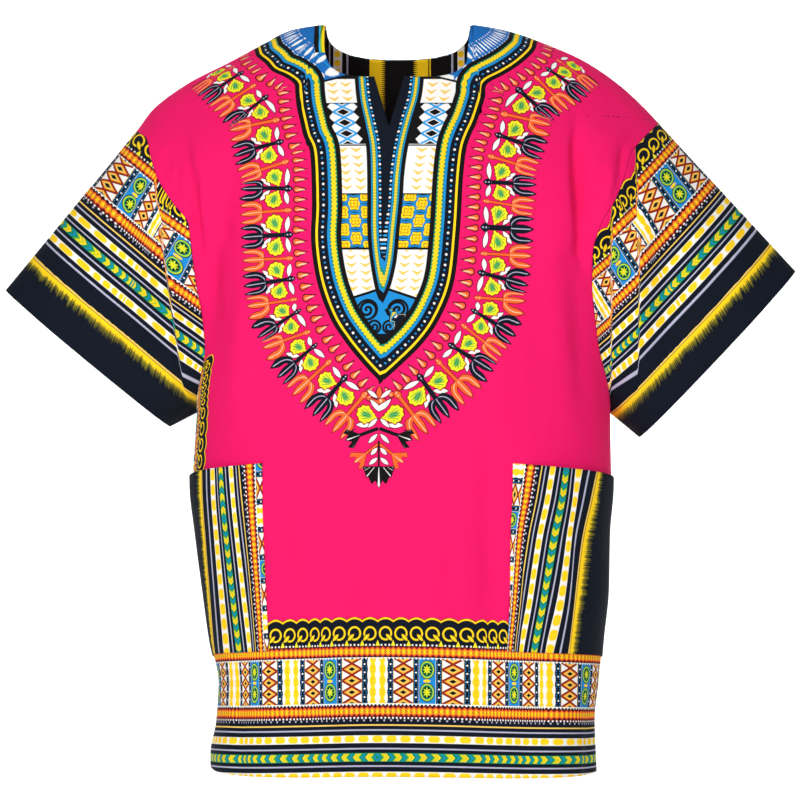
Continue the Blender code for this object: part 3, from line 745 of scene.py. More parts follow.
def select_only(*pieces: bpy.types.Object) -> None:
    """Select these pieces and make the first one active.

    Args:
        pieces: The pieces.
    """
    deselect_all()
    for piece in pieces:
        piece.select_set(True)
    bpy.context.view_layer.objects.active = pieces[0]


def sheet_of(
    name: str, points: np.ndarray, marks: dict[str, np.ndarray], ends: tuple[float, float] = (0.0, 1.0)
) -> bpy.types.Object:
    """A grid primitive shaped into an open cloth, with print coordinates on its points.

    Args:
        name: The piece's name.
        points: Rows by columns of points.
        marks: Print coordinates by attribute name, rows by columns by three.
        ends: Where the first and last column lie in the flat layout, from 0 to 1.

    Returns:
        The cloth as an object at the origin.
    """
    row_count, column_count = points.shape[:2]
    deselect_all()
    bpy.ops.mesh.primitive_grid_add(
        x_subdivisions=column_count - 1, y_subdivisions=row_count - 1, size=1.0, calc_uvs=False
    )
    sheet = bpy.context.object
    sheet.name = name
    sheet.data.name = name
    flat = np.empty(len(sheet.data.vertices) * 3)
    sheet.data.vertices.foreach_get("co", flat)
    flat = flat.reshape(-1, 3)
    column = np.rint((flat[:, 0] + 0.5) * (column_count - 1)).astype(int)
    row = np.rint((flat[:, 1] + 0.5) * (row_count - 1)).astype(int)
    sheet.data.vertices.foreach_set("co", points[row, column].ravel())
    for mark, values in marks.items():
        layer = sheet.data.attributes.new(mark, "FLOAT_VECTOR", "POINT")
        layer.data.foreach_set("vector", values[row, column].ravel())
    across = ends[0] + (ends[1] - ends[0]) * column / (column_count - 1)
    corners = face_corners(sheet)
    layer = sheet.data.uv_layers.new(name="OFBake")
    flat_places = np.stack([across, row / (row_count - 1)], axis=-1)
    layer.data.foreach_set("uv", flat_places[corners].ravel())
    sheet.data.update()
    return sheet


def face_corners(sheet: bpy.types.Object) -> np.ndarray:
    """The point at each corner of each face, one after the other.

    Args:
        sheet: The cloth.

    Returns:
        The number of the point at each corner.
    """
    corners = np.empty(len(sheet.data.loops), dtype=int)
    sheet.data.loops.foreach_get("vertex_index", corners)
    return corners


def merge_points(sheet: bpy.types.Object) -> None:
    """Merge points that lie on each other.

    Args:
        sheet: The cloth.
    """
    select_only(sheet)
    bpy.ops.object.mode_set(mode="EDIT")
    bpy.ops.mesh.select_all(action="SELECT")
    bpy.ops.mesh.remove_doubles(threshold=1e-6)
    bpy.ops.object.mode_set(mode="OBJECT")


def point_values(sheet: bpy.types.Object, name: str) -> np.ndarray:
    """A vector attribute of a mesh's points as an array.

    Args:
        sheet: The cloth.
        name: The attribute's name.

    Returns:
        One row for each point.
    """
    values = np.empty(len(sheet.data.vertices) * 3)
    sheet.data.attributes[name].data.foreach_get("vector", values)
    return values.reshape(-1, 3)


def face_mean(sheet: bpy.types.Object, values: np.ndarray) -> np.ndarray:
    """The mean of point values over each four-cornered face."""
    return values[face_corners(sheet).reshape(-1, 4)].mean(axis=1)


def turn_outward(sheet: bpy.types.Object, outward: np.ndarray) -> None:
    """Make an open cloth's faces point to its outer side.

    Args:
        sheet: The cloth.
        outward: A direction away from the cloth's inside for each point.
    """
    count = len(sheet.data.polygons)
    normals = np.empty(count * 3)
    sheet.data.polygons.foreach_get("normal", normals)
    if (normals.reshape(-1, 3) * face_mean(sheet, outward)).sum() < 0.0:
        select_only(sheet)
        bpy.ops.object.mode_set(mode="EDIT")
        bpy.ops.mesh.select_all(action="SELECT")
        bpy.ops.mesh.flip_normals()
        bpy.ops.object.mode_set(mode="OBJECT")


def give_wall(sheet: bpy.types.Object, wall: float) -> None:
    """Give an open cloth its thickness inwards and mark which points are on its inner side.

    Args:
        sheet: The cloth.
        wall: Its thickness in metres.
    """
    outer_points = len(sheet.data.vertices)
    outer_faces = len(sheet.data.polygons)
    select_only(sheet)
    solidify = sheet.modifiers.new("wall", "SOLIDIFY")
    solidify.thickness = wall
    solidify.offset = -1.0
    solidify.use_even_offset = False
    bpy.ops.object.modifier_apply(modifier=solidify.name)
    bpy.ops.object.shade_smooth()
    inner = np.zeros(len(sheet.data.vertices))
    inner[outer_points:] = 1.0
    layer = sheet.data.attributes.new("inner_side", "FLOAT", "POINT")
    layer.data.foreach_set("value", inner)
    lay_out_bake(sheet, outer_faces)


def lay_out_bake(sheet: bpy.types.Object, outer_faces: int) -> None:
    """Lay the cloth out flat: the outer side large, the inner side beside it.

    Args:
        sheet: The cloth with its wall.
        outer_faces: How many faces, the first ones, are on the outer side.
    """
    outer_width, inner_start, margin = 0.80, 0.82, 0.01
    layer = sheet.data.uv_layers["OFBake"]
    flat = np.empty(len(sheet.data.loops) * 2)
    layer.data.foreach_get("uv", flat)
    flat = flat.reshape(-1, 2)
    outer = np.arange(len(flat)) < outer_faces * 4
    start = np.where(outer, margin, inner_start)
    width = np.where(outer, outer_width - margin, 1.0 - margin - inner_start)
    across = start + flat[:, 0] * width
    up = margin + flat[:, 1] * (1.0 - 2.0 * margin)
    layer.data.foreach_set("uv", np.stack([across, up], axis=-1).ravel())


class Spot(NamedTuple):
    """A place in the front view, in millimetres at the shirt's middle plane from the carry point."""

    across: float
    down: float


# Where the print's lines lie, for the left and right half of each panel
YOKE_EDGE = {
    Side.LEFT: (
        Spot(-147, 26), Spot(-145.3, 30.6), Spot(-137, 37.3), Spot(-130, 45), Spot(-117, 51),
        Spot(-107.5, 58), Spot(-107, 64), Spot(-105.5, 79.6), Spot(-103, 91), Spot(-98.3, 111),
        Spot(-92, 127), Spot(-90, 178), Spot(-91, 215), Spot(-85, 256), Spot(-72, 292), Spot(-56, 317),
        Spot(-38, 339), Spot(-21, 357),
    ),
    Side.RIGHT: (
        Spot(135, 17.4), Spot(132, 25.4), Spot(118.4, 38), Spot(102.3, 48.4), Spot(85, 58),
        Spot(83.4, 70), Spot(80.5, 79.4), Spot(76, 94), Spot(69, 109), Spot(64.4, 123), Spot(61, 153),
        Spot(58, 204), Spot(52, 256), Spot(38, 292), Spot(21, 317), Spot(-1, 339), Spot(-21, 357),
    ),
}
BACK_YOKE_EDGE = {
    Side.LEFT: YOKE_EDGE[Side.LEFT][:7] + (
        Spot(-104, 74), Spot(-97, 86), Spot(-91, 102), Spot(-90, 126), Spot(-85, 167), Spot(-72, 203),
        Spot(-56, 228), Spot(-36, 252), Spot(0, 270),
    ),
    Side.RIGHT: YOKE_EDGE[Side.RIGHT][:4] + (
        Spot(92, 58), Spot(91, 70), Spot(87, 82), Spot(83, 94), Spot(80, 109), Spot(79, 134),
        Spot(75, 167), Spot(64, 203), Spot(51, 228), Spot(34, 251), Spot(0, 270),
    ),
}
INNER_U = {
    Side.LEFT: (
        Spot(-47.6, 49.5), Spot(-45.3, 74.4), Spot(-39.6, 101), Spot(-35.7, 124), Spot(-34.8, 166),
        Spot(-34.8, 201), Spot(-33.4, 224), Spot(-30, 248), Spot(-25.5, 268), Spot(-20, 279),
    ),
    Side.RIGHT: (
        Spot(22.6, 46), Spot(19.7, 70.5), Spot(13, 93.5), Spot(6.4, 120), Spot(2.5, 147),
        Spot(0.6, 176), Spot(-2.3, 204), Spot(-5.1, 233), Spot(-10, 256), Spot(-14.6, 268),
        Spot(-20, 279),
    ),
}
HALF_BACK_U = (
    Spot(19, 26), Spot(19, 84), Spot(18, 112), Spot(16, 135), Spot(12, 159), Spot(7, 175), Spot(0, 185),
)
BACK_INNER_U = {
    side: tuple(Spot(side.value * spot.across, spot.down) for spot in HALF_BACK_U) for side in Side
}
RING_FANS = {
    Side.LEFT: (
        Spot(-36.3, 388.6), Spot(-57, 370.8), Spot(-75.6, 354.7), Spot(-91.6, 336.9),
        Spot(-104.1, 320.8), Spot(-111.3, 301), Spot(-120, 284.8), Spot(-122.8, 265.7),
        Spot(-125.7, 243.7), Spot(-126.6, 221.7), Spot(-127.6, 196.8), Spot(-128.5, 173.8),
        Spot(-127.6, 150.9), Spot(-133.3, 129.8), Spot(-138, 108.8), Spot(-142, 86), Spot(-154, 74.5),
        Spot(-166.7, 60.2), Spot(-178, 50), Spot(-184, 46),
    ),
    Side.RIGHT: (
        Spot(-7.7, 388.6), Spot(15.5, 370.8), Spot(37, 354.7), Spot(54.8, 336.9), Spot(67.3, 317.2),
        Spot(79, 301), Spot(88.6, 282.9), Spot(90.5, 261.8), Spot(95.3, 238.9), Spot(96.3, 216.9),
        Spot(97.2, 187.2), Spot(99.2, 168.1), Spot(100.1, 145.1), Spot(105.9, 124.1), Spot(113.5, 103),
        Spot(119.3, 80.1), Spot(135.6, 66.7), Spot(151.7, 56.4), Spot(163, 46), Spot(171.8, 39.8),
    ),
}
BACK_RING_FANS = {
    Side.LEFT: (
        Spot(-14.8, 299.6), Spot(-35.5, 281.8), Spot(-56.8, 265.7), Spot(-75.5, 247.9),
        Spot(-90.7, 231.8), Spot(-100.6, 212), Spot(-111.9, 195.8), Spot(-117.4, 176.7),
        Spot(-123, 148.9),
    ) + RING_FANS[Side.LEFT][13:],
    Side.RIGHT: (
        Spot(13.8, 299.6), Spot(37, 281.8), Spot(55.8, 265.7), Spot(70.9, 247.9), Spot(80.7, 228.2),
        Spot(89.8, 212), Spot(96.7, 193.9), Spot(95.9, 172.8), Spot(98, 143.1),
    ) + RING_FANS[Side.RIGHT][13:],
}
SIDE_SCALLOPS = {
    Side.LEFT: (
        Spot(-189, 331), Spot(-195, 394), Spot(-199, 457), Spot(-207, 494),
    ),
    Side.RIGHT: (
        Spot(208, 464), Spot(202, 514), Spot(188, 626), Spot(183, 744),
    ),
}


@dataclass(frozen=True)
class FrontView:
    """The level view from the front, in which the print's places are stated."""

    eye_x: float = -0.002
    eye_z: float = -0.374
    distance: float = 2.6
    seen_width: float = 0.8

    def seen(self, points: np.ndarray, face: Face) -> np.ndarray:
        """Millimetres across and down at which points are seen, the back as through the front.

        Args:
            points: Points, the last axis x, y, z.
            face: Front or back.

        Returns:
            Millimetres across and down for each point.
        """
        scale = self.distance / (self.distance - face.value * points[..., 1])
        across = self.eye_x + (points[..., 0] - self.eye_x) * scale
        down = -self.eye_z - (points[..., 2] - self.eye_z) * scale
        return np.stack([across, down], axis=-1) / MM

    def lift(self, half: HalfPanel, spots: np.ndarray) -> tuple[np.ndarray, np.ndarray]:
        """Put places of the view on the cloth.

        Args:
            half: The half panel that they lie on.
            spots: Millimetres across and down, one row each.

        Returns:
            The points on the cloth, and their row and column in the grid.
        """
        seen = self.seen(half.points, half.face)
        row_count, column_count = seen.shape[:2]
        tree = kdtree.KDTree(row_count * column_count)
        for number, (across, down) in enumerate(seen.reshape(-1, 2)):
            tree.insert((across, down, 0.0), number)
        tree.balance()
        nearest = np.array([tree.find((across, down, 0.0))[1] for across, down in spots])
        place = np.stack([nearest // column_count, nearest % column_count], axis=-1).astype(float)
        value, row_step, column_step = cell_value(seen, place)
        stride = np.ones(len(spots))
        for _ in range(24):
            miss = spots - value
            turn = row_step[:, 0] * column_step[:, 1] - row_step[:, 1] * column_step[:, 0]
            turn = np.where(np.abs(turn) < 1e-6, 1e-6, turn)
            rows = (miss[:, 0] * column_step[:, 1] - miss[:, 1] * column_step[:, 0]) / turn
            columns = (row_step[:, 0] * miss[:, 1] - row_step[:, 1] * miss[:, 0]) / turn
            step = np.clip(np.stack([rows, columns], axis=-1), -1.0, 1.0) * stride[:, None]
            trial = np.clip(place + step, 0.0, (row_count - 1.0, column_count - 1.0))
            new_value, new_row_step, new_column_step = cell_value(seen, trial)
            nearer = np.linalg.norm(spots - new_value, axis=1) < np.linalg.norm(miss, axis=1)
            stride = np.where(nearer, 1.0, stride * 0.5)
            place = np.where(nearer[:, None], trial, place)
            value = np.where(nearer[:, None], new_value, value)
            row_step = np.where(nearer[:, None], new_row_step, row_step)
            column_step = np.where(nearer[:, None], new_column_step, column_step)
        return cell_value(half.points, place)[0], place


def cell_value(grid: np.ndarray, place: np.ndarray) -> tuple[np.ndarray, np.ndarray, np.ndarray]:
    """The value of a grid between its points.

    Args:
        grid: Rows by columns of vectors.
        place: Row and column, with fractions, for each wanted value.

    Returns:
        The values, and how much they change by one row and by one column.
    """
    cell = np.minimum(place.astype(int), np.array(grid.shape[:2]) - 2)
    row, column = cell[:, 0], cell[:, 1]
    part_row, part_column = (place - cell)[:, :1], (place - cell)[:, 1:]
    low_left, low_right = grid[row, column], grid[row, column + 1]
    high_left, high_right = grid[row + 1, column], grid[row + 1, column + 1]
    low = low_left + (low_right - low_left) * part_column
    high = high_left + (high_right - high_left) * part_column
    by_column = (low_right - low_left) * (1.0 - part_row) + (high_right - high_left) * part_row
    return low + (high - low) * part_row, high - low, by_column


VIEW = FrontView()
LINE_END = 0.012
LINE_STEP = 0.0005


def smooth_line(spots: Sequence[Spot], step: float = 0.5) -> tuple[np.ndarray, np.ndarray]:
    """A smooth line through places of the view.

    Args:
        spots: The places in order.
        step: The distance between samples, in millimetres.

    Returns:
        The samples, and the number of the place that each has reached, with fractions.
    """
    knots = np.array(spots, dtype=float)
    knots = np.concatenate([[2.0 * knots[0] - knots[1]], knots, [2.0 * knots[-1] - knots[-2]]])
    samples, numbers = [], []
    for number in range(len(spots) - 1):
        before, start, end, after = knots[number : number + 4]
        count = max(2, int(np.linalg.norm(end - start) / step))
        part = np.linspace(0.0, 1.0, count, endpoint=False)[:, None]
        pull_in, pull_out = (end - before) / 2.0, (after - start) / 2.0
        cubic = 2.0 * start - 2.0 * end + pull_in + pull_out
        square = 3.0 * end - 3.0 * start - 2.0 * pull_in - pull_out
        samples.append(start + pull_in * part + square * part**2 + cubic * part**3)
        numbers.append(number + part[:, 0])
    samples.append(knots[-2:-1])
    numbers.append(np.array([len(spots) - 1.0]))
    return np.concatenate(samples), np.concatenate(numbers)


def smoothed(rows: np.ndarray, reach: int = 5) -> np.ndarray:
    """Rows of vectors averaged with their neighbours, less so near the ends.

    Args:
        rows: The vectors, one in each row.
        reach: How many neighbours on each side count.

    Returns:
        The averaged rows.
    """
    result = rows.copy()
    for number in range(1, len(rows) - 1):
        near = min(reach, number, len(rows) - 1 - number)
        result[number] = rows[number - near : number + near + 1].mean(axis=0)
    return result


@dataclass
class ClothLine:
    """A printed line on the cloth, sampled closely, that gives distances to and along it."""

    points: np.ndarray
    aside: np.ndarray
    tangent: np.ndarray
    along: np.ndarray
    number: np.ndarray
    pace: np.ndarray
    room: np.ndarray

    @classmethod
    def on(cls, half: HalfPanel, spots: Sequence[Spot], outward: int, first: float = 0.0) -> "ClothLine":
        """A line through places of the view, lifted onto a half panel.

        Args:
            half: The half panel.
            spots: The places, from the end where distances along start.
            outward: 1 where the outer side is to the line's right in the view, or -1.
            first: The number of the first place.

        Returns:
            The line.
        """
        samples, number = smooth_line(spots)
        points, place = VIEW.lift(half, samples)
        found = np.linalg.norm(VIEW.seen(points, half.face) - samples, axis=1) < 0.15
        points, place, number = points[found], place[found], number[found]
        moved = np.concatenate([[True], np.linalg.norm(np.diff(points, axis=0), axis=1) > 5e-5])
        points, place, number = points[moved], place[moved], number[moved]
        steps = np.linalg.norm(np.diff(points, axis=0), axis=1)
        reached = np.concatenate([[0.0], np.cumsum(steps)])
        along = np.linspace(0.0, reached[-1], int(reached[-1] / LINE_STEP) + 2)
        rows = np.column_stack([points, place, number])
        even = np.stack([np.interp(along, reached, values) for values in rows.T], axis=-1)
        points, place, number = smoothed(even[:, :3]), even[:, 3:5], even[:, 5]
        tangent = smoothed(np.gradient(points, axis=0))
        tangent /= np.linalg.norm(tangent, axis=-1, keepdims=True)
        normals = grid_normals(half.points, body_outward(half.points))
        normal = cell_value(normals, place)[0]
        aside = outward * np.cross(tangent, smoothed(normal))
        aside /= np.linalg.norm(aside, axis=-1, keepdims=True)
        pace = np.gradient(number) / np.gradient(along / MM)
        room = np.full(len(along), LINE_STEP)
        room[:2] = room[-2:] = LINE_END
        return cls(points, aside, tangent, along / MM, number + first, pace, room)

    @classmethod
    def joined(cls, lines: Sequence["ClothLine"]) -> "ClothLine":
        """Several lines as one."""
        names = ("points", "aside", "tangent", "along", "number", "pace", "room")
        return cls(*(np.concatenate([getattr(line, name) for line in lines]) for name in names))

    def read(self, points: np.ndarray) -> tuple[np.ndarray, np.ndarray, np.ndarray]:
        """Measure points from the line.

        Args:
            points: Any grid of points.

        Returns:
            Signed distance, distance along and place number, in millimetres and places.
        """
        tree = kdtree.KDTree(len(self.points))
        for number, point in enumerate(self.points):
            tree.insert(point, number)
        tree.balance()
        flat = points.reshape(-1, 3)
        nearest = np.array([tree.find(point)[1] for point in flat])
        away = flat - self.points[nearest]
        room = self.room[nearest]
        ahead = np.clip((away * self.tangent[nearest]).sum(axis=-1), -room, room)
        side = np.where((away * self.aside[nearest]).sum(axis=-1) < 0.0, -1.0, 1.0)
        distance = side * np.sqrt(np.maximum((away**2).sum(axis=-1) - ahead**2, 0.0)) / MM
        along = self.along[nearest] + ahead / MM
        number = self.number[nearest] + ahead / MM * self.pace[nearest]
        shape = points.shape[:-1]
        return distance.reshape(shape), along.reshape(shape), number.reshape(shape)


def body_outward(points: np.ndarray) -> np.ndarray:
    """A direction out of the body at each point of a panel.

    Args:
        points: Points, the last axis x, y, z.

    Returns:
        The directions, not of unit length.
    """
    away = points.copy()
    away[..., 2] = UPWARD_PART
    return away


@dataclass(frozen=True)
class PrintPlan:
    """Where the print lies on the cloth, in millimetres."""

    hem_border: float = 148.2
    back_blocks_start: float = 86.0
    neckline_level: float = -0.0605
    fans_left_out: int = 4
    fan_step: float = 22.5
    ring_half_width: float = 46.0
    ring_end: float = 446.0
    drops_end: float = 22.0
    spray_level: float = 352.0
    spray_half_height: float = 56.0


class Warp(NamedTuple):
    """A distance measured on the cloth and where the print has got to there, in millimetres."""

    cloth: float
    printed: float


class PocketPrint(NamedTuple):
    """How a pocket is cut from the border: where its inner edge lies and where a feather lies down it."""

    start: float
    feather: float


PLAN = PrintPlan()
# Small tucks take the print up unevenly round the hem, the sleeves and the pockets
HEM_WARPS = {
    Side.LEFT: (
        Warp(0.0, 0.0), Warp(46.6, 51.0), Warp(62.3, 75.0), Warp(82.9, 102.0), Warp(106.5, 129.0),
        Warp(121.5, 153.0), Warp(142.5, 197.0), Warp(400.0, 480.0),
    ),
    Side.RIGHT: (
        Warp(0.0, 0.0), Warp(46.7, 51.0), Warp(99.3, 102.0), Warp(131.0, 153.0), Warp(160.5, 204.0),
        Warp(217.0, 255.0), Warp(400.0, 450.0),
    ),
}
SLEEVE_WARPS = {
    Side.LEFT: (
        Warp(0.0, 206.0), Warp(43.0, 163.0), Warp(44.6, 161.6), Warp(60.0, 157.0), Warp(63.3, 155.0),
        Warp(70.9, 146.6), Warp(88.1, 129.5), Warp(102.4, 112.4), Warp(128.5, 86.0), Warp(181.5, 29.5),
        Warp(211.0, 0.0), Warp(260.0, -49.0),
    ),
    Side.RIGHT: (
        Warp(0.0, 199.4), Warp(36.4, 163.0), Warp(38.0, 161.4), Warp(53.5, 157.0), Warp(57.7, 155.2),
        Warp(67.6, 146.6), Warp(82.0, 129.5), Warp(98.0, 112.4), Warp(120.7, 86.0), Warp(174.6, 29.5),
        Warp(200.3, 0.0), Warp(260.0, -60.0),
    ),
}
POCKET_TOP_WARPS = {
    Side.LEFT: (
        Warp(0.0, 0.0), Warp(98.5, 98.5), Warp(109.2, 112.4), Warp(124.1, 129.5), Warp(135.4, 146.6),
        Warp(158.5, 163.0), Warp(200.0, 204.5),
    ),
    Side.RIGHT: (
        Warp(0.0, 0.0), Warp(62.0, 62.0), Warp(75.6, 79.0), Warp(94.6, 98.5), Warp(108.4, 112.4),
        Warp(125.4, 129.5), Warp(140.5, 146.6), Warp(174.0, 163.0), Warp(215.0, 204.0),
    ),
}
POCKET_FOOT_WARPS = {
    Side.LEFT: (
        Warp(0.0, 0.0), Warp(72.0, 72.0), Warp(80.0, 86.0), Warp(86.4, 98.5), Warp(93.8, 112.4),
        Warp(109.6, 129.5), Warp(128.5, 146.6), Warp(169.0, 163.0), Warp(200.0, 194.0),
    ),
    Side.RIGHT: (
        Warp(50.0, 66.0), Warp(62.0, 79.0), Warp(69.7, 98.5), Warp(76.3, 112.4), Warp(91.2, 129.5),
        Warp(107.9, 146.6), Warp(136.2, 163.0), Warp(180.0, 204.0),
    ),
}
POCKET_STRETCH = 1.15
POCKET_PRINTS = {Side.LEFT: PocketPrint(71.0, 50.0), Side.RIGHT: PocketPrint(62.0, 3.0)}
SLEEVE_ALONG = {
    Side.LEFT: (
        Warp(0.0, 0.0), Warp(50.0, 25.0), Warp(77.0, 36.0), Warp(104.0, 51.0), Warp(125.0, 75.0),
        Warp(144.0, 102.0), Warp(150.0, 128.0), Warp(179.0, 150.0), Warp(206.0, 161.0), Warp(230.0, 176.0),
        Warp(400.0, 290.0),
    ),
    Side.RIGHT: (
        Warp(0.0, 0.0), Warp(51.0, 30.0), Warp(75.0, 46.0), Warp(102.0, 64.0), Warp(129.0, 83.0),
        Warp(150.0, 103.0), Warp(158.0, 126.0), Warp(177.0, 141.0), Warp(204.0, 162.0), Warp(231.0, 186.0),
        Warp(255.0, 210.0), Warp(400.0, 330.0),
    ),
}


def warped(cloth: np.ndarray, warp: Sequence[Warp]) -> np.ndarray:
    """Where the print has got to at distances measured on the cloth."""
    return np.interp(cloth, named_column(warp, "cloth"), named_column(warp, "printed"))


@dataclass
class Body:
    """Both panels' half grids and the print's coordinates on them."""

    halves: dict[tuple[Face, Side], HalfPanel] = field(init=False)
    lines: dict[str, ClothLine] = field(init=False)

    def __post_init__(self) -> None:
        """Work out the half grids and the printed lines."""
        self.halves = {(face, side): HalfPanel(face, side) for face in Face for side in Side}
        tables = {
            "yoke": {Face.FRONT: YOKE_EDGE, Face.BACK: BACK_YOKE_EDGE},
            "inner": {Face.FRONT: INNER_U, Face.BACK: BACK_INNER_U},
            "ring": {Face.FRONT: RING_FANS, Face.BACK: BACK_RING_FANS},
        }
        self.lines = {}
        for name, faces in tables.items():
            lines = []
            for (face, side), half in self.halves.items():
                spots = faces[face][side]
                spots = spots if name == "ring" else spots[::-1]
                outward = -side.value * face.value
                first = 0.5
                if name == "ring" and face is Face.BACK:
                    first += PLAN.fans_left_out
                lines.append(ClothLine.on(half, spots, outward, first))
            self.lines[name] = ClothLine.joined(lines)

    def along_rows(self, half: HalfPanel) -> np.ndarray:
        """Distance along each row from the centre column, in millimetres."""
        steps = np.linalg.norm(np.diff(half.points, axis=1), axis=-1)
        return np.concatenate([np.zeros((len(half.points), 1)), np.cumsum(steps, axis=1)], axis=1) / MM

    def side_border(self, half: HalfPanel) -> np.ndarray:
        """How far each point is inside the side border, in millimetres.

        Args:
            half: The half panel.

        Returns:
            The distance of each point, less than 0 outside the border.
        """
        across = self.along_rows(half)
        front = self.halves[Face.FRONT, half.side]
        front_across = self.along_rows(front)
        spots = np.array(SIDE_SCALLOPS[half.side], dtype=float)
        _, place = VIEW.lift(front, spots)
        rows, columns = place[:, 0], place[:, 1]
        marks = np.stack([front_across, front.rows], axis=-1)
        found = cell_value(marks, place)[0]
        order = np.argsort(found[:, 1])
        start = np.interp(front.rows[:, -1], found[order, 1], found[order, 0])
        depth = front_across[:, -1] - start
        top, low = found[order[-1], 1], found[order[0], 1]
        above = np.maximum(front.rows[:, -1] - top, 0.0) / MM
        below = np.maximum(low - front.rows[:, -1], 0.0) / MM
        depth = depth - 2.0 * above
        if half.side is Side.LEFT:
            depth = depth - 0.26 * below
        return depth[:, None] - (across[:, -1:] - across)

    def marks(self, half: HalfPanel) -> dict[str, np.ndarray]:
        """The print's coordinates on a half panel, by attribute name.

        Args:
            half: The half panel.

        Returns:
            The coordinates, rows by columns by three.
        """
        front = half.face is Face.FRONT
        across = self.along_rows(half)
        up = half.rows / MM
        edge, edge_along, _ = self.lines["yoke"].read(half.points)
        inner, _, _ = self.lines["inner"].read(half.points)
        ring, ring_along, fan = self.lines["ring"].read(half.points)
        neck = self.neck_distance(half)
        centre = np.zeros(half.points.shape[:2])
        if front:
            centre = BODY.section_value("centre", half.points[..., 2].ravel()).reshape(centre.shape)
        drop = (PLAN.neckline_level - half.points[..., 2]) / MM
        if not front:
            drop = drop + PLAN.back_blocks_start
        centre_x = (half.points[..., 0] - centre) / MM
        return {
            "hem_mm": np.stack([warped(across, HEM_WARPS[half.side]), PLAN.hem_border - up, up], axis=-1),
            "side_mm": np.stack([up, self.side_border(half), up], axis=-1),
            "yoke_mm": np.stack([edge_along, edge, inner], axis=-1),
            "chest_mm": np.stack([centre_x, drop, neck], axis=-1),
            "ring_mm": np.stack([PLAN.fan_step * fan, ring, edge_along], axis=-1),
        }

    def neck_distance(self, half: HalfPanel) -> np.ndarray:
        """Distance from the neckline and the slit, in millimetres.

        Args:
            half: The half panel.

        Returns:
            The distance of each point.
        """
        edge = half.points[-1, : GRID.neck_columns + 1]
        if half.face is Face.FRONT:
            open_part = half.points[:, 0][half.points[:, 0, 2] > SLIT_POINT_Z]
            edge = np.concatenate([open_part, edge])
        fine = []
        for start, end in zip(edge[:-1], edge[1:]):
            fine.append(start + (end - start) * np.linspace(0.0, 1.0, 8, endpoint=False)[:, None])
        samples = np.concatenate(fine + [edge[-1:]])
        tree = kdtree.KDTree(len(samples))
        for number, point in enumerate(samples):
            tree.insert(point, number)
        tree.balance()
        flat = half.points.reshape(-1, 3)
        return np.array([tree.find(point)[2] for point in flat]).reshape(half.points.shape[:2]) / MM


class Cut(NamedTuple):
    """What shows of a piece of cloth, laid flat: its width, length and area, in metres."""

    width: float
    length: float
    area: float


def finish_cloth(cloth: bpy.types.Object, node: str, wall: float) -> None:
    """Give a cloth its wall, parent it to the root body, and hide its solid.

    Args:
        cloth: The printed cloth, without thickness.
        node: The solid's name.
        wall: The cloth's thickness in metres.
    """
    give_wall(cloth, wall)
    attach(cloth, "root")
    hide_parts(node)


@dataclass
class PanelCloth:
    """A body panel of printed cotton."""

    name: str
    face: Face
    body: Body

    def build(self) -> bpy.types.Object:
        """Build the panel from its two halves and dress it.

        Returns:
            The finished cloth.
        """
        sheets = []
        for side in Side:
            half = self.body.halves[self.face, side]
            ends = (0.5, 0.5 + 0.5 * side.value)
            name = f"{self.name}_{side.name.lower()}"
            sheets.append(sheet_of(name, half.sewn(), self.body.marks(half), ends))
        for sheet in sheets:
            turn_outward(sheet, body_outward(mesh_points(sheet)))
        select_only(*sheets)
        bpy.ops.object.join()
        panel = bpy.context.object
        panel.name = self.name + "_cloth"
        merge_points(panel)
        self.print_cloth(panel)
        finish_cloth(panel, self.name, CLOTH_WALL)
        return panel

    def print_cloth(self, panel: bpy.types.Object) -> None:
        """Give each region of the print its finish.

        Args:
            panel: The panel's cloth.
        """
        hem = face_mean(panel, point_values(panel, "hem_mm"))
        side = face_mean(panel, point_values(panel, "side_mm"))
        yoke = face_mean(panel, point_values(panel, "yoke_mm"))
        ring = face_mean(panel, point_values(panel, "ring_mm"))
        slots = np.zeros(len(panel.data.polygons), dtype=int)
        on_line = (np.abs(ring[:, 1]) < PLAN.ring_half_width) & (ring[:, 0] < PLAN.ring_end)
        in_ring = on_line | ((yoke[:, 1] > 0.0) & (yoke[:, 1] < PLAN.drops_end))
        chest = face_mean(panel, point_values(panel, "chest_mm"))
        level = np.abs(chest[:, 1] - PLAN.spray_level)
        in_spray = (np.abs(chest[:, 0]) < PLAN.ring_half_width) & (level < PLAN.spray_half_height)
        slots[in_ring | (in_spray & (self.face is Face.FRONT))] = 1
        slots[yoke[:, 1] < 3.0] = 2
        slots[side[:, 1] > -4.0] = 3
        slots[hem[:, 1] > np.where(side[:, 1] > 0.0, 0.0, -4.5)] = 4
        for finish in ("plain", "ring", "yoke", "side", "hem"):
            panel.data.materials.append(FINISHES[finish].material())
        panel.data.polygons.foreach_set("material_index", slots)
        panel.data.update()


def mesh_points(piece: bpy.types.Object) -> np.ndarray:
    """A mesh's points as an array.

    Args:
        piece: The piece.

    Returns:
        One row for each point.
    """
    flat = np.empty(len(piece.data.vertices) * 3)
    piece.data.vertices.foreach_get("co", flat)
    return flat.reshape(-1, 3)


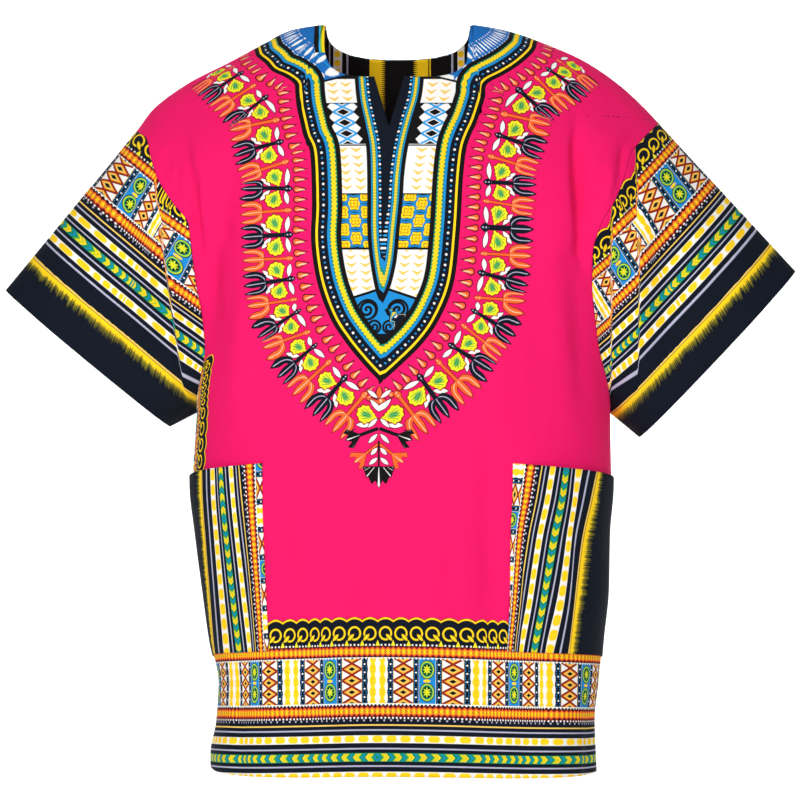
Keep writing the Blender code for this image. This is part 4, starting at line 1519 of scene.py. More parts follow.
@dataclass
class PocketCloth:
    """A patch pocket, a block of the front's own points moved out from the panel."""

    name: str
    side: Side
    body: Body
    gap: float = 0.0003
    solid_wall: float = 0.0012
    wall: float = 0.0011
    mouth_lift: float = 0.0045

    def build(self) -> bpy.types.Object:
        """Build the pocket and dress it.

        Returns:
            The finished cloth.
        """
        half = self.body.halves[Face.FRONT, self.side]
        first_row = GRID.rows_below_pocket
        rows = slice(first_row, first_row + GRID.rows_along_pocket + 1)
        shares = list(GRID.shares())
        first = GRID.neck_columns + shares.index(GRID.pocket_inner)
        last = GRID.neck_columns + shares.index(GRID.pocket_outer)
        columns = slice(first, last + 1)
        normals = grid_normals(half.points, body_outward(half.points))[rows, columns]
        block = half.points[rows, columns]
        up = np.linspace(0.0, 1.0, block.shape[0])[:, None]
        across = np.linspace(0.0, 1.0, block.shape[1])[None, :]
        mouth = self.mouth_lift * up**3 * np.sin(math.pi * across)
        points = block + normals * (self.gap + self.solid_wall + mouth)[..., None]
        pocket = sheet_of(self.name + "_cloth", points, {"border_mm": self.border(half, points, rows)})
        turn_outward(pocket, body_outward(mesh_points(pocket)))
        pocket.data.materials.append(FINISHES["border"].material())
        finish_cloth(pocket, self.name, self.wall)
        return pocket

    def border(self, half: HalfPanel, points: np.ndarray, rows: slice) -> np.ndarray:
        """The border's coordinates on the pocket: up the pocket, and out from its inner edge.

        Args:
            half: The half panel.
            points: Points, the last axis x, y, z.
            rows: The panel's rows that the pocket covers.

        Returns:
            The coordinates, rows by columns by three.
        """
        steps = np.linalg.norm(np.diff(points, axis=1), axis=-1)
        out = np.concatenate([np.zeros((len(points), 1)), np.cumsum(steps, axis=1)], axis=1) / MM
        up = np.repeat(half.rows[rows, -2:-1] / MM, points.shape[1], axis=1)
        cut = POCKET_PRINTS[self.side]
        down = GRID.pocket_top_row / MM - up - cut.feather
        raw = cut.start + POCKET_STRETCH * out
        high = np.linspace(0.0, 1.0, len(points))[:, None]
        top, foot = warped(raw, POCKET_TOP_WARPS[self.side]), warped(raw, POCKET_FOOT_WARPS[self.side])
        return np.stack([down, top * high + foot * (1.0 - high), up], axis=-1)


@dataclass
class FacingCloth:
    """The facing inside the back neck, a block of the back's own points moved in."""

    body: Body
    depth: float = 0.084
    inset: float = 0.0015
    wall: float = 0.0008

    def build(self) -> bpy.types.Object:
        """Build the facing and dress it.

        Returns:
            The finished cloth.
        """
        halves = [self.body.halves[Face.BACK, side] for side in Side]
        left, right = halves
        whole = np.concatenate([left.points[:, ::-1], right.points[:, 1:]], axis=1)
        normals = grid_normals(whole, body_outward(whole))
        middle = len(left.columns) - 1
        reach = GRID.neck_columns - 1
        columns = slice(middle - reach, middle + reach + 1)
        to_top = np.linalg.norm(whole[:, middle] - whole[-1, middle], axis=-1)
        first = int(np.argmax(to_top < self.depth))
        points = whole[first:, columns] - normals[first:, columns] * self.inset
        seen = VIEW.seen(points, Face.FRONT)
        stripe = np.concatenate([seen, np.zeros_like(seen[..., :1])], axis=-1)
        facing = sheet_of("neck_facing_cloth", points, {"facing_mm": stripe})
        turn_outward(facing, body_outward(mesh_points(facing)))
        facing.data.materials.append(FINISHES["facing"].material())
        finish_cloth(facing, "neck_facing", self.wall)
        return facing


@dataclass
class SleeveCloth:
    """A sleeve: an oval tube from the armhole to the cuff, folded slantwise where it hangs."""

    name: str
    side: Side
    body: Body
    rings: int = 84
    cuff_half_depth: float = 0.052
    cuff_squareness: float = 2.3

    def armhole_loop(self) -> np.ndarray:
        """Points round the armhole: shoulder, down the front to the underarm, and up the back.

        Returns:
            The loop's points.
        """
        front = self.body.halves[Face.FRONT, self.side].points[-GRID.rows_above - 1 :, -1]
        back = self.body.halves[Face.BACK, self.side].points[-GRID.rows_above - 1 :, -1]
        return np.concatenate([front[::-1], back[1:]])

    def cuff_point(self, turn: np.ndarray) -> np.ndarray:
        """A point of the cuff's oval: turn 0 is its upper corner, half way round its lower one.

        Args:
            turn: Angles round the cuff, 0 at its upper corner.

        Returns:
            The points.
        """
        cuff = CUFFS[self.side]
        middle = np.array([(cuff.top_x + cuff.bottom_x) / 2.0, 0.0, (cuff.top_z + cuff.bottom_z) / 2.0])
        half = np.array([(cuff.top_x - cuff.bottom_x) / 2.0, 0.0, (cuff.top_z - cuff.bottom_z) / 2.0])
        power = 2.0 / self.cuff_squareness
        cosine, sine = np.cos(turn), np.sin(turn)
        along = np.sign(cosine) * np.abs(cosine) ** power
        aside = np.sign(sine) * np.abs(sine) ** power
        return middle + along[:, None] * half + aside[:, None] * np.array([0.0, -self.cuff_half_depth, 0.0])

    def grid(self) -> tuple[np.ndarray, np.ndarray]:
        """Grid points of the sleeve, rows from the armhole to the cuff, and the turn of each column.

        Returns:
            The points, and the turn of each column.
        """
        loop = self.armhole_loop()
        steps = np.linalg.norm(np.diff(loop, axis=0), axis=1)
        lengths = np.concatenate([[0.0], np.cumsum(steps)])
        low = len(loop) // 2
        first = lengths[: low + 1] / lengths[low] * math.pi
        rest = (lengths[low + 1 :] - lengths[low]) / (lengths[-1] - lengths[low])
        turns = np.concatenate([first, math.pi + rest * math.pi])
        cuff = self.cuff_point(turns)
        parts = np.linspace(0.0, 1.0, self.rings + 1)
        points = loop[None] + (cuff - loop)[None] * parts[:, None, None]
        points[:, -1] = points[:, 0]
        front = (np.sin(turns) >= 0.0)[None, :]
        folds = np.where(
            front,
            fold_height(SLEEVE_FOLDS[self.side, Face.FRONT], points),
            fold_height(SLEEVE_FOLDS[self.side, Face.BACK], points),
        )
        fine = np.where(
            front,
            fold_height(SLEEVE_CREASES[self.side, Face.FRONT], points),
            fold_height(SLEEVE_CREASES[self.side, Face.BACK], points),
        )
        fade = np.sin(turns)[None, :] ** 2 * smooth_step(parts / 0.3)[:, None]
        near = np.abs(np.sin(turns))[None, :] * smooth_step(parts / 0.08)[:, None]
        away = np.zeros_like(points)
        away[..., 1] = -np.sign(np.sin(turns))[None, :]
        points += away * (folds * fade + fine * near)[..., None]
        points[:, -1] = points[:, 0]
        return points, turns

    def border(self, points: np.ndarray, turns: np.ndarray) -> np.ndarray:
        """The border's coordinates: round the sleeve from its upper edge, and towards the cuff.

        Args:
            points: Points, the last axis x, y, z.
            turns: The angle of each column round the sleeve.

        Returns:
            The coordinates, rows by columns by three.
        """
        steps = np.linalg.norm(np.diff(points, axis=1), axis=-1)
        round_it = np.concatenate([np.zeros((len(points), 1)), np.cumsum(steps, axis=1)], axis=1)
        half_way = np.where(turns <= math.pi, round_it, round_it[:, -1:] - round_it) / MM
        cuff = CUFFS[self.side]
        edge = np.array([cuff.bottom_x - cuff.top_x, cuff.bottom_z - cuff.top_z])
        normal = np.array([-edge[1], edge[0]]) / np.linalg.norm(edge)
        across, up = points[..., 0] - cuff.top_x, points[..., 2] - cuff.top_z
        from_cuff = np.abs(across * normal[0] + up * normal[1]) / MM
        out = warped(from_cuff, SLEEVE_WARPS[self.side])
        for pleat in SLEEVE_PLEATS[self.side]:
            part = (pleat.top_z - points[..., 2]) / (pleat.top_z - pleat.bottom_z)
            line_x = pleat.top_x + (pleat.bottom_x - pleat.top_x) * part
            fold = smooth_step(0.5 - (points[..., 0] - line_x) / MM * self.side.value / pleat.blend)
            shift = np.interp(part, (-0.15, 0.0, 1.0, 1.2), (0.0, pleat.top_shift, pleat.bottom_shift, 0.0))
            out = out - shift * fold * (turns <= math.pi)
        return np.stack([warped(half_way, SLEEVE_ALONG[self.side]), out, from_cuff], axis=-1)

    def build(self) -> bpy.types.Object:
        """Build the sleeve and dress it.

        Returns:
            The finished cloth.
        """
        points, turns = self.grid()
        marks = self.border(points, turns)
        steps = points[1] - points[0]
        points[0] += SEAM_BACK * steps / np.linalg.norm(steps, axis=-1, keepdims=True)
        sleeve = sheet_of(self.name + "_cloth", points, {"border_mm": marks})
        merge_points(sleeve)
        middle = points[:, :-1].mean(axis=(0, 1))
        direction = points[-1, :-1].mean(axis=0) - points[0, :-1].mean(axis=0)
        direction /= np.linalg.norm(direction)
        away = mesh_points(sleeve) - middle
        turn_outward(sleeve, away - (away @ direction)[:, None] * direction)
        sleeve.data.materials.append(FINISHES["border"].material())
        finish_cloth(sleeve, self.name, CLOTH_WALL)
        return sleeve


class Pleat(NamedTuple):
    """A place where the sleeve's cloth laps over itself, so that its print jumps."""

    top_x: float
    top_z: float
    bottom_x: float
    bottom_z: float
    top_shift: float
    bottom_shift: float
    blend: float


SLEEVE_PLEATS = {
    Side.LEFT: (Pleat(-0.236, -0.182, -0.2155, -0.347, 28.0, 5.0, 1.5),),
    Side.RIGHT: (
        Pleat(0.2255, -0.130, 0.230, -0.330, 22.0, 5.0, 1.5),
        Pleat(0.200, -0.175, 0.204, -0.350, 25.0, 8.0, 1.5),
    ),
}
SLEEVE_CREASES = {
    (Side.LEFT, Face.FRONT): (
        Fold(-0.232, -0.160, -0.228, -0.300, 0.005, -0.0048),
        Fold(-0.219, -0.290, -0.216, -0.380, 0.006, -0.0038),
        Fold(-0.300, -0.210, -0.310, -0.350, 0.012, 0.0026),
        Fold(-0.360, -0.230, -0.380, -0.320, 0.010, -0.0022),
    ),
    (Side.RIGHT, Face.FRONT): (
        Fold(0.224, -0.110, 0.222, -0.270, 0.005, -0.0048),
        Fold(0.200, -0.160, 0.198, -0.390, 0.005, -0.0042),
        Fold(0.292, -0.190, 0.300, -0.350, 0.012, 0.0026),
        Fold(0.355, -0.210, 0.372, -0.310, 0.010, -0.0022),
    ),
    (Side.LEFT, Face.BACK): (
        Fold(-0.226, -0.150, -0.222, -0.320, 0.006, -0.0042),
        Fold(-0.330, -0.200, -0.350, -0.340, 0.012, 0.0029),
    ),
    (Side.RIGHT, Face.BACK): (
        Fold(0.224, -0.150, 0.220, -0.320, 0.006, -0.0042),
        Fold(0.326, -0.190, 0.346, -0.330, 0.012, 0.0029),
    ),
}


def add_node(
    tree: bpy.types.NodeTree,
    kind: str,
    settings: dict[str, object] | None = None,
    inputs: dict[int | str, object] | None = None,
    output: int = 0,
) -> "Reading":
    """Add one shader node, set it up and link it.

    Args:
        tree: The material's node tree.
        kind: The node's type name.
        settings: Its properties.
        inputs: What each input gets: a reading to link, or a value to set.
        output: Which output to give back.

    Returns:
        The output as a reading.
    """
    node = tree.nodes.new(kind)
    for name, value in (settings or {}).items():
        setattr(node, name, value)
    for place, value in (inputs or {}).items():
        if isinstance(value, Reading):
            tree.links.new(value.socket, node.inputs[place])
        else:
            node.inputs[place].default_value = value
    return Reading(tree, node.outputs[output])


@dataclass(frozen=True)
class Reading:
    """A number, vector or colour on its way through a material."""

    tree: bpy.types.NodeTree
    socket: bpy.types.NodeSocket

    def math(self, operation: str, *others: object, clamp: bool = False) -> "Reading":
        """This reading put through a Math operation with others.

        Args:
            operation: The Math node's operation.
            others: The other numbers or readings.
            clamp: Whether the result is kept from 0 to 1.

        Returns:
            The result.
        """
        inputs = dict(enumerate((self, *others)))
        settings = {"operation": operation, "use_clamp": clamp}
        return add_node(self.tree, "ShaderNodeMath", settings, inputs)

    def __add__(self, other: object) -> "Reading":
        """The sum."""
        return self.math("ADD", other)

    def __sub__(self, other: object) -> "Reading":
        """The difference."""
        return self.math("SUBTRACT", other)

    def __mul__(self, other: object) -> "Reading":
        """The product."""
        return self.math("MULTIPLY", other)

    def __abs__(self) -> "Reading":
        """The distance from zero."""
        return self.math("ABSOLUTE")

    def under(self, limit: float, soft: float = 0.4) -> "Reading":
        """1 where the reading is under a limit, with a soft edge."""
        return self.math("MULTIPLY_ADD", -1.0 / soft, 0.5 + limit / soft, clamp=True)

    def over(self, limit: float, soft: float = 0.4) -> "Reading":
        """1 where the reading is over a limit, with a soft edge."""
        return self.math("MULTIPLY_ADD", 1.0 / soft, 0.5 - limit / soft, clamp=True)

    def near(self, middle: float, half: float) -> "Reading":
        """1 where the reading is within half a width of the middle."""
        return abs(self - middle).under(half)

    def mirrored(self, half_period: float) -> "Reading":
        """The distance from the nearest of evenly spaced places."""
        return self.math("PINGPONG", half_period)

    def repeated(self, half_period: float) -> "Reading":
        """The signed distance from the middle of the repeat that the reading is in."""
        return self.math("WRAP", half_period, -half_period)


def linear(hex_colour: str) -> tuple[float, float, float, float]:
    """An sRGB colour, written as six hex digits, in linear values.

    Args:
        hex_colour: The colour as six hex digits.

    Returns:
        Red, green, blue and alpha.
    """
    values = [int(hex_colour[start : start + 2], 16) / 255.0 for start in (0, 2, 4)]
    red, green, blue = (v / 12.92 if v <= 0.04045 else ((v + 0.055) / 1.055) ** 2.4 for v in values)
    return (red, green, blue, 1.0)


class Ink(Enum):
    """The print's inks on the cotton, as they look in even light."""

    PINK = "E91464"
    NAVY = "0B1320"
    BLACK = "100E0E"
    YELLOW = "FFD21C"
    LEMON = "F4E22A"
    AMBER = "FFA31C"
    ORANGE = "F8642C"
    PEACH = "FFC29A"
    BROWN = "8C1E16"
    WINE = "6E0A2C"
    SAND = "F0C862"
    WHITE = "F1EFEC"
    LAVENDER = "B4B4CC"
    BLUE = "1C88CC"
    SKY = "2AA8EC"
    DEEP_BLUE = "1869B4"
    TEAL = "0E8A64"
    LEAF = "7ABA2C"
    LIME = "B8D838"
    OLIVE = "7C7420"


@dataclass
class Painter:
    """Lays one ink over another, in the order of the calls."""

    tree: bpy.types.NodeTree
    colour: object

    def lay(self, mask: Reading, ink: object) -> None:
        """Lay an ink, or another painting, where the mask is 1.

        Args:
            mask: 1 where the ink is laid, and 0 elsewhere.
            ink: The ink, or another painting's colour.
        """
        over = linear(ink.value) if isinstance(ink, Ink) else ink
        under = linear(self.colour.value) if isinstance(self.colour, Ink) else self.colour
        settings = {"data_type": "RGBA"}
        self.colour = add_node(self.tree, "ShaderNodeMix", settings, {0: mask, 6: under, 7: over}, 2)

    def nest(self, shape: Reading, layers: Sequence[tuple[float, Ink]], soft: float = 0.4) -> None:
        """Lay inks one inside the other, each where a shape's reading is under its own limit.

        Args:
            shape: The shape's reading, less the further in.
            layers: The limit and the ink of each layer, from the outermost in.
            soft: How soft the edges are.
        """
        for limit, ink in layers:
            self.lay(shape.under(limit, soft), ink)


class Stripe(NamedTuple):
    """A stripe's start, in millimetres, and its ink."""

    start: float
    ink: Ink


def stripes(reading: Reading, rows: Sequence[Stripe], end: float) -> Reading:
    """Sharp stripes of ink across a reading.

    Args:
        reading: Millimetres across the stripes.
        rows: The stripes in order; the first one also covers all before it.
        end: Where the table ends.

    Returns:
        The stripes' colour.
    """
    start = rows[0].start
    part = reading.math("MULTIPLY_ADD", 1.0 / (end - start), -start / (end - start))
    ramp = add_node(reading.tree, "ShaderNodeValToRGB", inputs={0: part})
    table = ramp.socket.node.color_ramp
    table.interpolation = "CONSTANT"
    table.elements.remove(table.elements[1])
    table.elements[0].position = 0.0
    table.elements[0].color = linear(rows[0].ink.value)
    for row in rows[1:]:
        table.elements.new((row.start - start) / (end - start)).color = linear(row.ink.value)
    return ramp


def oval(across: Reading, along: Reading, half_width: float, half_height: float) -> Reading:
    """Under 1 inside an oval round zero.

    Args:
        across: Millimetres across.
        along: Millimetres along.
        half_width: Half the oval's width.
        half_height: Half the oval's height.

    Returns:
        The reading.
    """
    place = add_node(across.tree, "ShaderNodeCombineXYZ", inputs={0: across, 1: along})
    scale = (1.0 / half_width, 1.0 / half_height, 0.0)
    scaled = add_node(across.tree, "ShaderNodeVectorMath", {"operation": "MULTIPLY"}, {0: place, 1: scale})
    return add_node(across.tree, "ShaderNodeVectorMath", {"operation": "LENGTH"}, {0: scaled}, 1)


def turned(across: Reading, along: Reading, place: Spot, degrees: float) -> tuple[Reading, Reading]:
    """Coordinates of a motif of its own, from where it stands and how it is turned.

    Args:
        across: Millimetres across.
        along: Millimetres along.
        place: Where the motif's zero lies.
        degrees: How far its first axis is turned from across towards along.

    Returns:
        Millimetres along the motif's first and second axis.
    """
    at = add_node(across.tree, "ShaderNodeCombineXYZ", inputs={0: across, 1: along})
    inputs = {0: at, 1: (place.across, place.down, 0.0), 2: (0.0, 0.0, math.radians(degrees))}
    local = add_node(across.tree, "ShaderNodeMapping", {"vector_type": "TEXTURE"}, inputs)
    first = add_node(across.tree, "ShaderNodeSeparateXYZ", inputs={0: local})
    return first, Reading(across.tree, first.socket.node.outputs[1])


def leaf(along: Reading, aside: Reading, length: float, width: float) -> Reading:
    """Under 0 inside a leaf pointed at both ends, from zero to its length.

    Args:
        along: Millimetres from its first point.
        aside: Millimetres from its middle line.
        length: Its length in millimetres.
        width: Its greatest width in millimetres.

    Returns:
        The reading.
    """
    middle = along - length / 2.0
    half = (middle * middle).math("MULTIPLY_ADD", -2.0 * width / length**2, width / 2.0)
    return abs(aside) - half


def drop(along: Reading, aside: Reading, length: float, width: float) -> Reading:
    """Under 0 inside a drop with its point at zero and its round end at its length.

    Args:
        along: Millimetres from its point.
        aside: Millimetres from its middle line.
        length: Its length in millimetres.
        width: Its greatest width in millimetres.

    Returns:
        The reading.
    """
    centre = length - width / 2.0
    beyond = (along - centre).math("MAXIMUM", 0.0)
    reach = oval(beyond, aside, 1.0, 1.0)
    half = along.math("MULTIPLY", 1.0 / centre, clamp=True) * (width / 2.0)
    return reach - half


@dataclass(frozen=True)
class PrintedCotton:
    """Plain-woven cotton with a wax-style print, matt, paler on the inside."""

    name: str
    inner_fade: float = 0.06
    roughness: float = 0.82
    shine: float = 0.12
    thread_pitch: float = 0.0014
    thread_height: float = 0.00006
    rumple_height: float = 0.0032

    def paint(self, tree: bpy.types.NodeTree) -> object:
        """The print's colour on plain ground."""
        return linear(Ink.PINK.value)

    def mark(self, tree: bpy.types.NodeTree, name: str) -> tuple[Reading, Reading, Reading]:
        """The three numbers of a print coordinate that the cloth carries.

        Args:
            tree: The material's node tree.
            name: The coordinate's attribute name.

        Returns:
            The three readings.
        """
        settings = {"attribute_name": name, "attribute_type": "GEOMETRY"}
        vector = add_node(tree, "ShaderNodeAttribute", settings, output=1)
        first = add_node(tree, "ShaderNodeSeparateXYZ", inputs={0: vector})
        outputs = first.socket.node.outputs
        return first, Reading(tree, outputs[1]), Reading(tree, outputs[2])

    def material(self) -> bpy.types.Material:
        """Make the material, or give the one that is made.

        Returns:
            The material.
        """
        found = bpy.data.materials.get(self.name)
        if found:
            return found
        material = bpy.data.materials.new(self.name)
        material.use_nodes = True
        tree = material.node_tree
        shader = tree.nodes["Principled BSDF"]
        colour = self.paint(tree)
        settings = {"attribute_name": "inner_side", "attribute_type": "GEOMETRY"}
        inner = add_node(tree, "ShaderNodeAttribute", settings, output=2)
        show_through = inner * self.inner_fade
        inputs = {0: show_through, 6: colour, 7: linear(Ink.WHITE.value)}
        faded = add_node(tree, "ShaderNodeMix", {"data_type": "RGBA"}, inputs, 2)
        place = add_node(tree, "ShaderNodeTexCoord", output=3)
        # small unevenness of the dye and of the light on rumpled cotton
        inputs = {"Vector": place, "Scale": 9.0, "Detail": 4.0, "Roughness": 0.55}
        patch = add_node(tree, "ShaderNodeTexNoise", inputs=inputs)
        value = patch.math("MULTIPLY_ADD", 0.16, 0.92)
        shaded = add_node(tree, "ShaderNodeHueSaturation", inputs={"Value": value, "Color": faded})
        tree.links.new(shaded.socket, shader.inputs["Base Color"])
        # the dye has sunk into spun threads, so the cloth is matt and hardly shines
        shader.inputs["Roughness"].default_value = self.roughness
        shader.inputs["Specular IOR Level"].default_value = self.shine
        self.weave(tree, shader, place)
        return material

    def weave(self, tree: bpy.types.NodeTree, shader: bpy.types.Node, place: Reading) -> None:
        """Raise the threads of the plain weave and the cloth's soft rumples.

        The weave has one thread in 1.4 mm, coarser than the real cloth's four in a millimetre, which a
        picture of the whole shirt couldn't show.

        Args:
            tree: The material's node tree.
            shader: The material's main shader.
            place: Object coordinates.
        """
        across = add_node(tree, "ShaderNodeSeparateXYZ", inputs={0: place})
        up = Reading(tree, across.socket.node.outputs[2])
        warp = (across * (2.0 * math.pi / self.thread_pitch)).math("SINE")
        weft = (up * (2.0 * math.pi / self.thread_pitch)).math("SINE")
        threads = warp * weft
        inputs = {"Vector": place, "Scale": 28.0, "Detail": 3.0, "Roughness": 0.5}
        rumple = add_node(tree, "ShaderNodeTexNoise", inputs=inputs)
        height = threads.math("MULTIPLY_ADD", self.thread_height, rumple * self.rumple_height)
        bump = add_node(tree, "ShaderNodeBump", inputs={"Strength": 0.5, "Distance": 1.0, "Height": height})
        tree.links.new(bump.socket, shader.inputs["Normal"])


@dataclass(frozen=True)
class BandedBorder(PrintedCotton):
    """The navy border: scallops with rings, two braids, a geometric row, a green band and a fringe."""

    mark_name: str = "border_mm"
    scallop: float = 8.0
    scallop_rise: float = 3.0
    ring_middle: float = 12.2
    ring_radius: float = 5.9
    row_middle: float = 57.0
    row_half_height: float = 21.5
    row_repeat: float = 10.9
    feather_step: float = 51.0
    feather_middle: float = 4.9
    diamond_middle: float = 26.6
    diamond_half_width: float = 10.3
    bar_offset: float = 13.2
    flower_offset: float = 10.7
    braid_offset: float = 28.25
    braid_middle: float = 57.75
    green_middle: float = 129.5
    fringe_start: float = 163.0

    def paint(self, tree: bpy.types.NodeTree) -> Reading:
        """The border's colour.

        Args:
            tree: The material's node tree.

        Returns:
            The colour.
        """
        along, out, _ = self.mark(tree, self.mark_name)
        along = abs(along)
        rows = (
            Stripe(-5.0, Ink.NAVY), Stripe(25.0, Ink.BROWN), Stripe(26.2, Ink.BLACK),
            Stripe(35.0, Ink.WHITE), Stripe(79.0, Ink.BLACK), Stripe(91.0, Ink.BROWN),
            Stripe(92.0, Ink.NAVY), Stripe(97.9, Ink.SAND), Stripe(99.1, Ink.NAVY),
            Stripe(161.4, Ink.SAND), Stripe(162.4, Ink.NAVY),
        )
        painter = Painter(tree, stripes(out, rows, 175.0))
        self.paint_row(painter, along, out)
        self.paint_braids(painter, along, out)
        self.paint_green_band(painter, along, out)
        self.paint_fringe(painter, along, out)
        self.paint_scallops(painter, along, out)
        return painter.colour

    def paint_scallops(self, painter: Painter, along: Reading, out: Reading) -> None:
        """The scalloped edge to the pink, with a ring and a leaf in each scallop.

        Args:
            painter: The painting so far.
            along: Millimetres along.
            out: Millimetres out from the border's inner edge.
        """
        side = (along + self.scallop).repeated(self.scallop)
        ring = oval(side, out - self.ring_middle, 1.0, 1.0)
        painter.lay(ring.near(self.ring_radius, 0.9), Ink.YELLOW)
        first, second = turned(side, out, Spot(0.6, 12.8), 45.0)
        tail = leaf(first, second, 9.0, 3.4)
        painter.nest(tail, ((0.8, Ink.NAVY), (0.0, Ink.YELLOW)))
        step = along.mirrored(self.scallop)
        crest = step - self.scallop
        lift = (crest * crest).math("MULTIPLY_ADD", -self.scallop_rise / self.scallop**2, self.scallop_rise)
        edge = out + lift
        tip = step.math("MULTIPLY_ADD", 2.4, 18.4)
        painter.lay((tip - out).under(0.0) * out.under(24.0), Ink.LEMON)
        painter.nest(edge, ((1.7, Ink.YELLOW), (0.0, Ink.BROWN), (-0.9, Ink.PINK)))

    def paint_braids(self, painter: Painter, along: Reading, out: Reading) -> None:
        """The two toothed braids beside the geometric row.

        Args:
            painter: The painting so far.
            along: Millimetres along.
            out: Millimetres out from the border's inner edge.
        """
        offset = abs(abs(out - self.braid_middle) - self.braid_offset)
        tooth = along.mirrored(2.7)
        edge = tooth.math("MULTIPLY_ADD", 0.75, offset)
        painter.nest(edge, ((5.6, Ink.BROWN), (4.3, Ink.ORANGE), (3.2, Ink.AMBER), (1.9, Ink.YELLOW)))
        middle = abs(tooth.math("MULTIPLY_ADD", -0.8, 1.1) + offset)
        painter.lay(middle.under(0.35), Ink.BROWN)
        dots = oval(along.repeated(2.0), offset - 6.3, 1.0, 1.0)
        painter.lay(dots.under(0.95), Ink.WHITE)

    def paint_row(self, painter: Painter, along: Reading, out: Reading) -> None:
        """The geometric row: feathers, diamonds and medallions between navy bars.

        Args:
            painter: The painting so far.
            along: Millimetres along.
            out: Millimetres out from the border's inner edge.
        """
        row = Painter(painter.tree, Ink.WHITE)
        height = out - self.row_middle
        half_repeat = self.row_repeat / 2.0
        column = along.mirrored(self.feather_step)
        wave = (height * (math.pi / half_repeat)).math("COSINE")
        feather = wave.math("MULTIPLY_ADD", -0.8, abs(column - self.feather_middle))
        row.lay(feather.under(2.9), Ink.YELLOW)
        barb = abs(height.repeated(half_repeat)) - abs(column - self.feather_middle) * 1.3
        row.lay(barb.near(0.8, 0.3) * feather.under(2.2), Ink.AMBER)
        row.lay(wave.math("MULTIPLY_ADD", -0.8, column).under(0.9), Ink.WHITE)
        fold = abs(column - self.diamond_middle)
        level = height.mirrored(half_repeat) * (1.0 / half_repeat)
        diamond = fold.math("MULTIPLY_ADD", 1.0 / self.diamond_half_width, level)
        inside = fold.under(self.diamond_half_width)
        row.lay(fold.near(10.1, 0.3), Ink.SAND)
        row.lay(abs(diamond - 1.0).under(0.22, 0.05) * inside, Ink.BROWN)
        row.lay(diamond.under(0.80, 0.05) * inside, Ink.AMBER)
        row.lay(diamond.under(0.62, 0.05) * inside, Ink.SAND)
        row.lay(diamond.under(0.36, 0.04) * inside, Ink.BLACK)
        row.lay(fold.near(self.bar_offset, 2.8), Ink.NAVY)
        row.lay(oval(fold - self.bar_offset, height.repeated(3.9), 1.0, 1.0).under(0.85), Ink.WHITE)
        row.lay(oval(abs(fold - self.bar_offset) - 1.6, height.repeated(1.3), 0.4, 0.8).under(1.0), Ink.BLUE)
        scallop = wave.math("MULTIPLY_ADD", 0.5, column)
        row.lay(scallop.near(11.0, 0.6), Ink.NAVY)
        self.paint_medallion(row, column, height)
        painter.lay(abs(height).under(self.row_half_height), row.colour)

    def paint_medallion(self, row: Painter, column: Reading, height: Reading) -> None:
        """A pair of round flowers on blue.

        Args:
            row: The row's own painting.
            column: Millimetres from the nearest feather.
            height: Millimetres up from the row's middle.
        """
        middle = column - self.feather_step
        row.lay(column.over(42.9), Ink.BLUE)
        level = abs(height) - self.flower_offset
        disc = oval(middle, level, 7.4, 9.0)
        row.nest(disc, ((1.0, Ink.BLACK), (0.90, Ink.LIME), (0.76, Ink.TEAL), (0.62, Ink.BLACK)), 0.06)
        angle = level.math("ARCTAN2", middle)
        petal = (angle * 8.0).math("COSINE")
        flower = petal.math("MULTIPLY_ADD", -0.12, disc)
        row.lay(flower.under(0.42, 0.06), Ink.LIME)
        row.lay(disc.under(0.20, 0.06), Ink.YELLOW)
        row.lay(oval(middle, height, 3.4, 1.5).under(1.0, 0.3), Ink.YELLOW)

    def paint_green_band(self, painter: Painter, along: Reading, out: Reading) -> None:
        """The band of green arrows between bands of yellow blocks on white, edged in lavender.

        Args:
            painter: The painting so far.
            along: Millimetres along.
            out: Millimetres out from the border's inner edge.
        """
        offset = abs(out - self.green_middle)
        painter.lay(offset.near(8.2, 0.7), Ink.LAVENDER)
        painter.lay(offset.near(25.7, 0.7), Ink.LAVENDER)
        painter.lay(offset.near(17.1, 3.6), Ink.WHITE)
        block = oval(along.repeated(7.25), offset - 17.3, 5.6, 3.9)
        painter.lay(block.under(1.0, 0.2) * offset.near(17.3, 3.1), Ink.YELLOW)
        arrow = offset.math("MULTIPLY_ADD", 0.9, along).math("WRAP", 13.0, 0.0)
        rows = (
            Stripe(0.0, Ink.TEAL), Stripe(2.4, Ink.BLUE), Stripe(3.8, Ink.TEAL), Stripe(5.8, Ink.LEAF),
            Stripe(7.4, Ink.YELLOW), Stripe(9.2, Ink.LEAF), Stripe(10.0, Ink.YELLOW), Stripe(12.4, Ink.TEAL),
        )
        painter.lay(offset.under(4.1), Ink.TEAL)
        painter.lay(offset.under(3.5), stripes(arrow, rows, 13.0))
        painter.lay(oval(along.repeated(3.5), out - 94.6, 1.0, 1.0).under(0.95), Ink.LAVENDER)

    def paint_fringe(self, painter: Painter, along: Reading, out: Reading) -> None:
        """The fringe of yellow threads of uneven length.

        Args:
            painter: The painting so far.
            along: Millimetres along.
            out: Millimetres out from the border's inner edge.
        """
        thread = along.math("SNAP", 0.8)
        noise = add_node(painter.tree, "ShaderNodeTexWhiteNoise", {"noise_dimensions": "1D"}, {1: thread})
        reach = out - (self.fringe_start + 0.6)
        shown = reach.over(0.0)
        painter.lay(noise.math("MULTIPLY_ADD", -6.0, reach).under(5.5, 5.0) * shown, Ink.OLIVE)
        painter.lay(noise.math("MULTIPLY_ADD", -3.0, reach).under(3.2, 2.6) * shown, Ink.YELLOW)


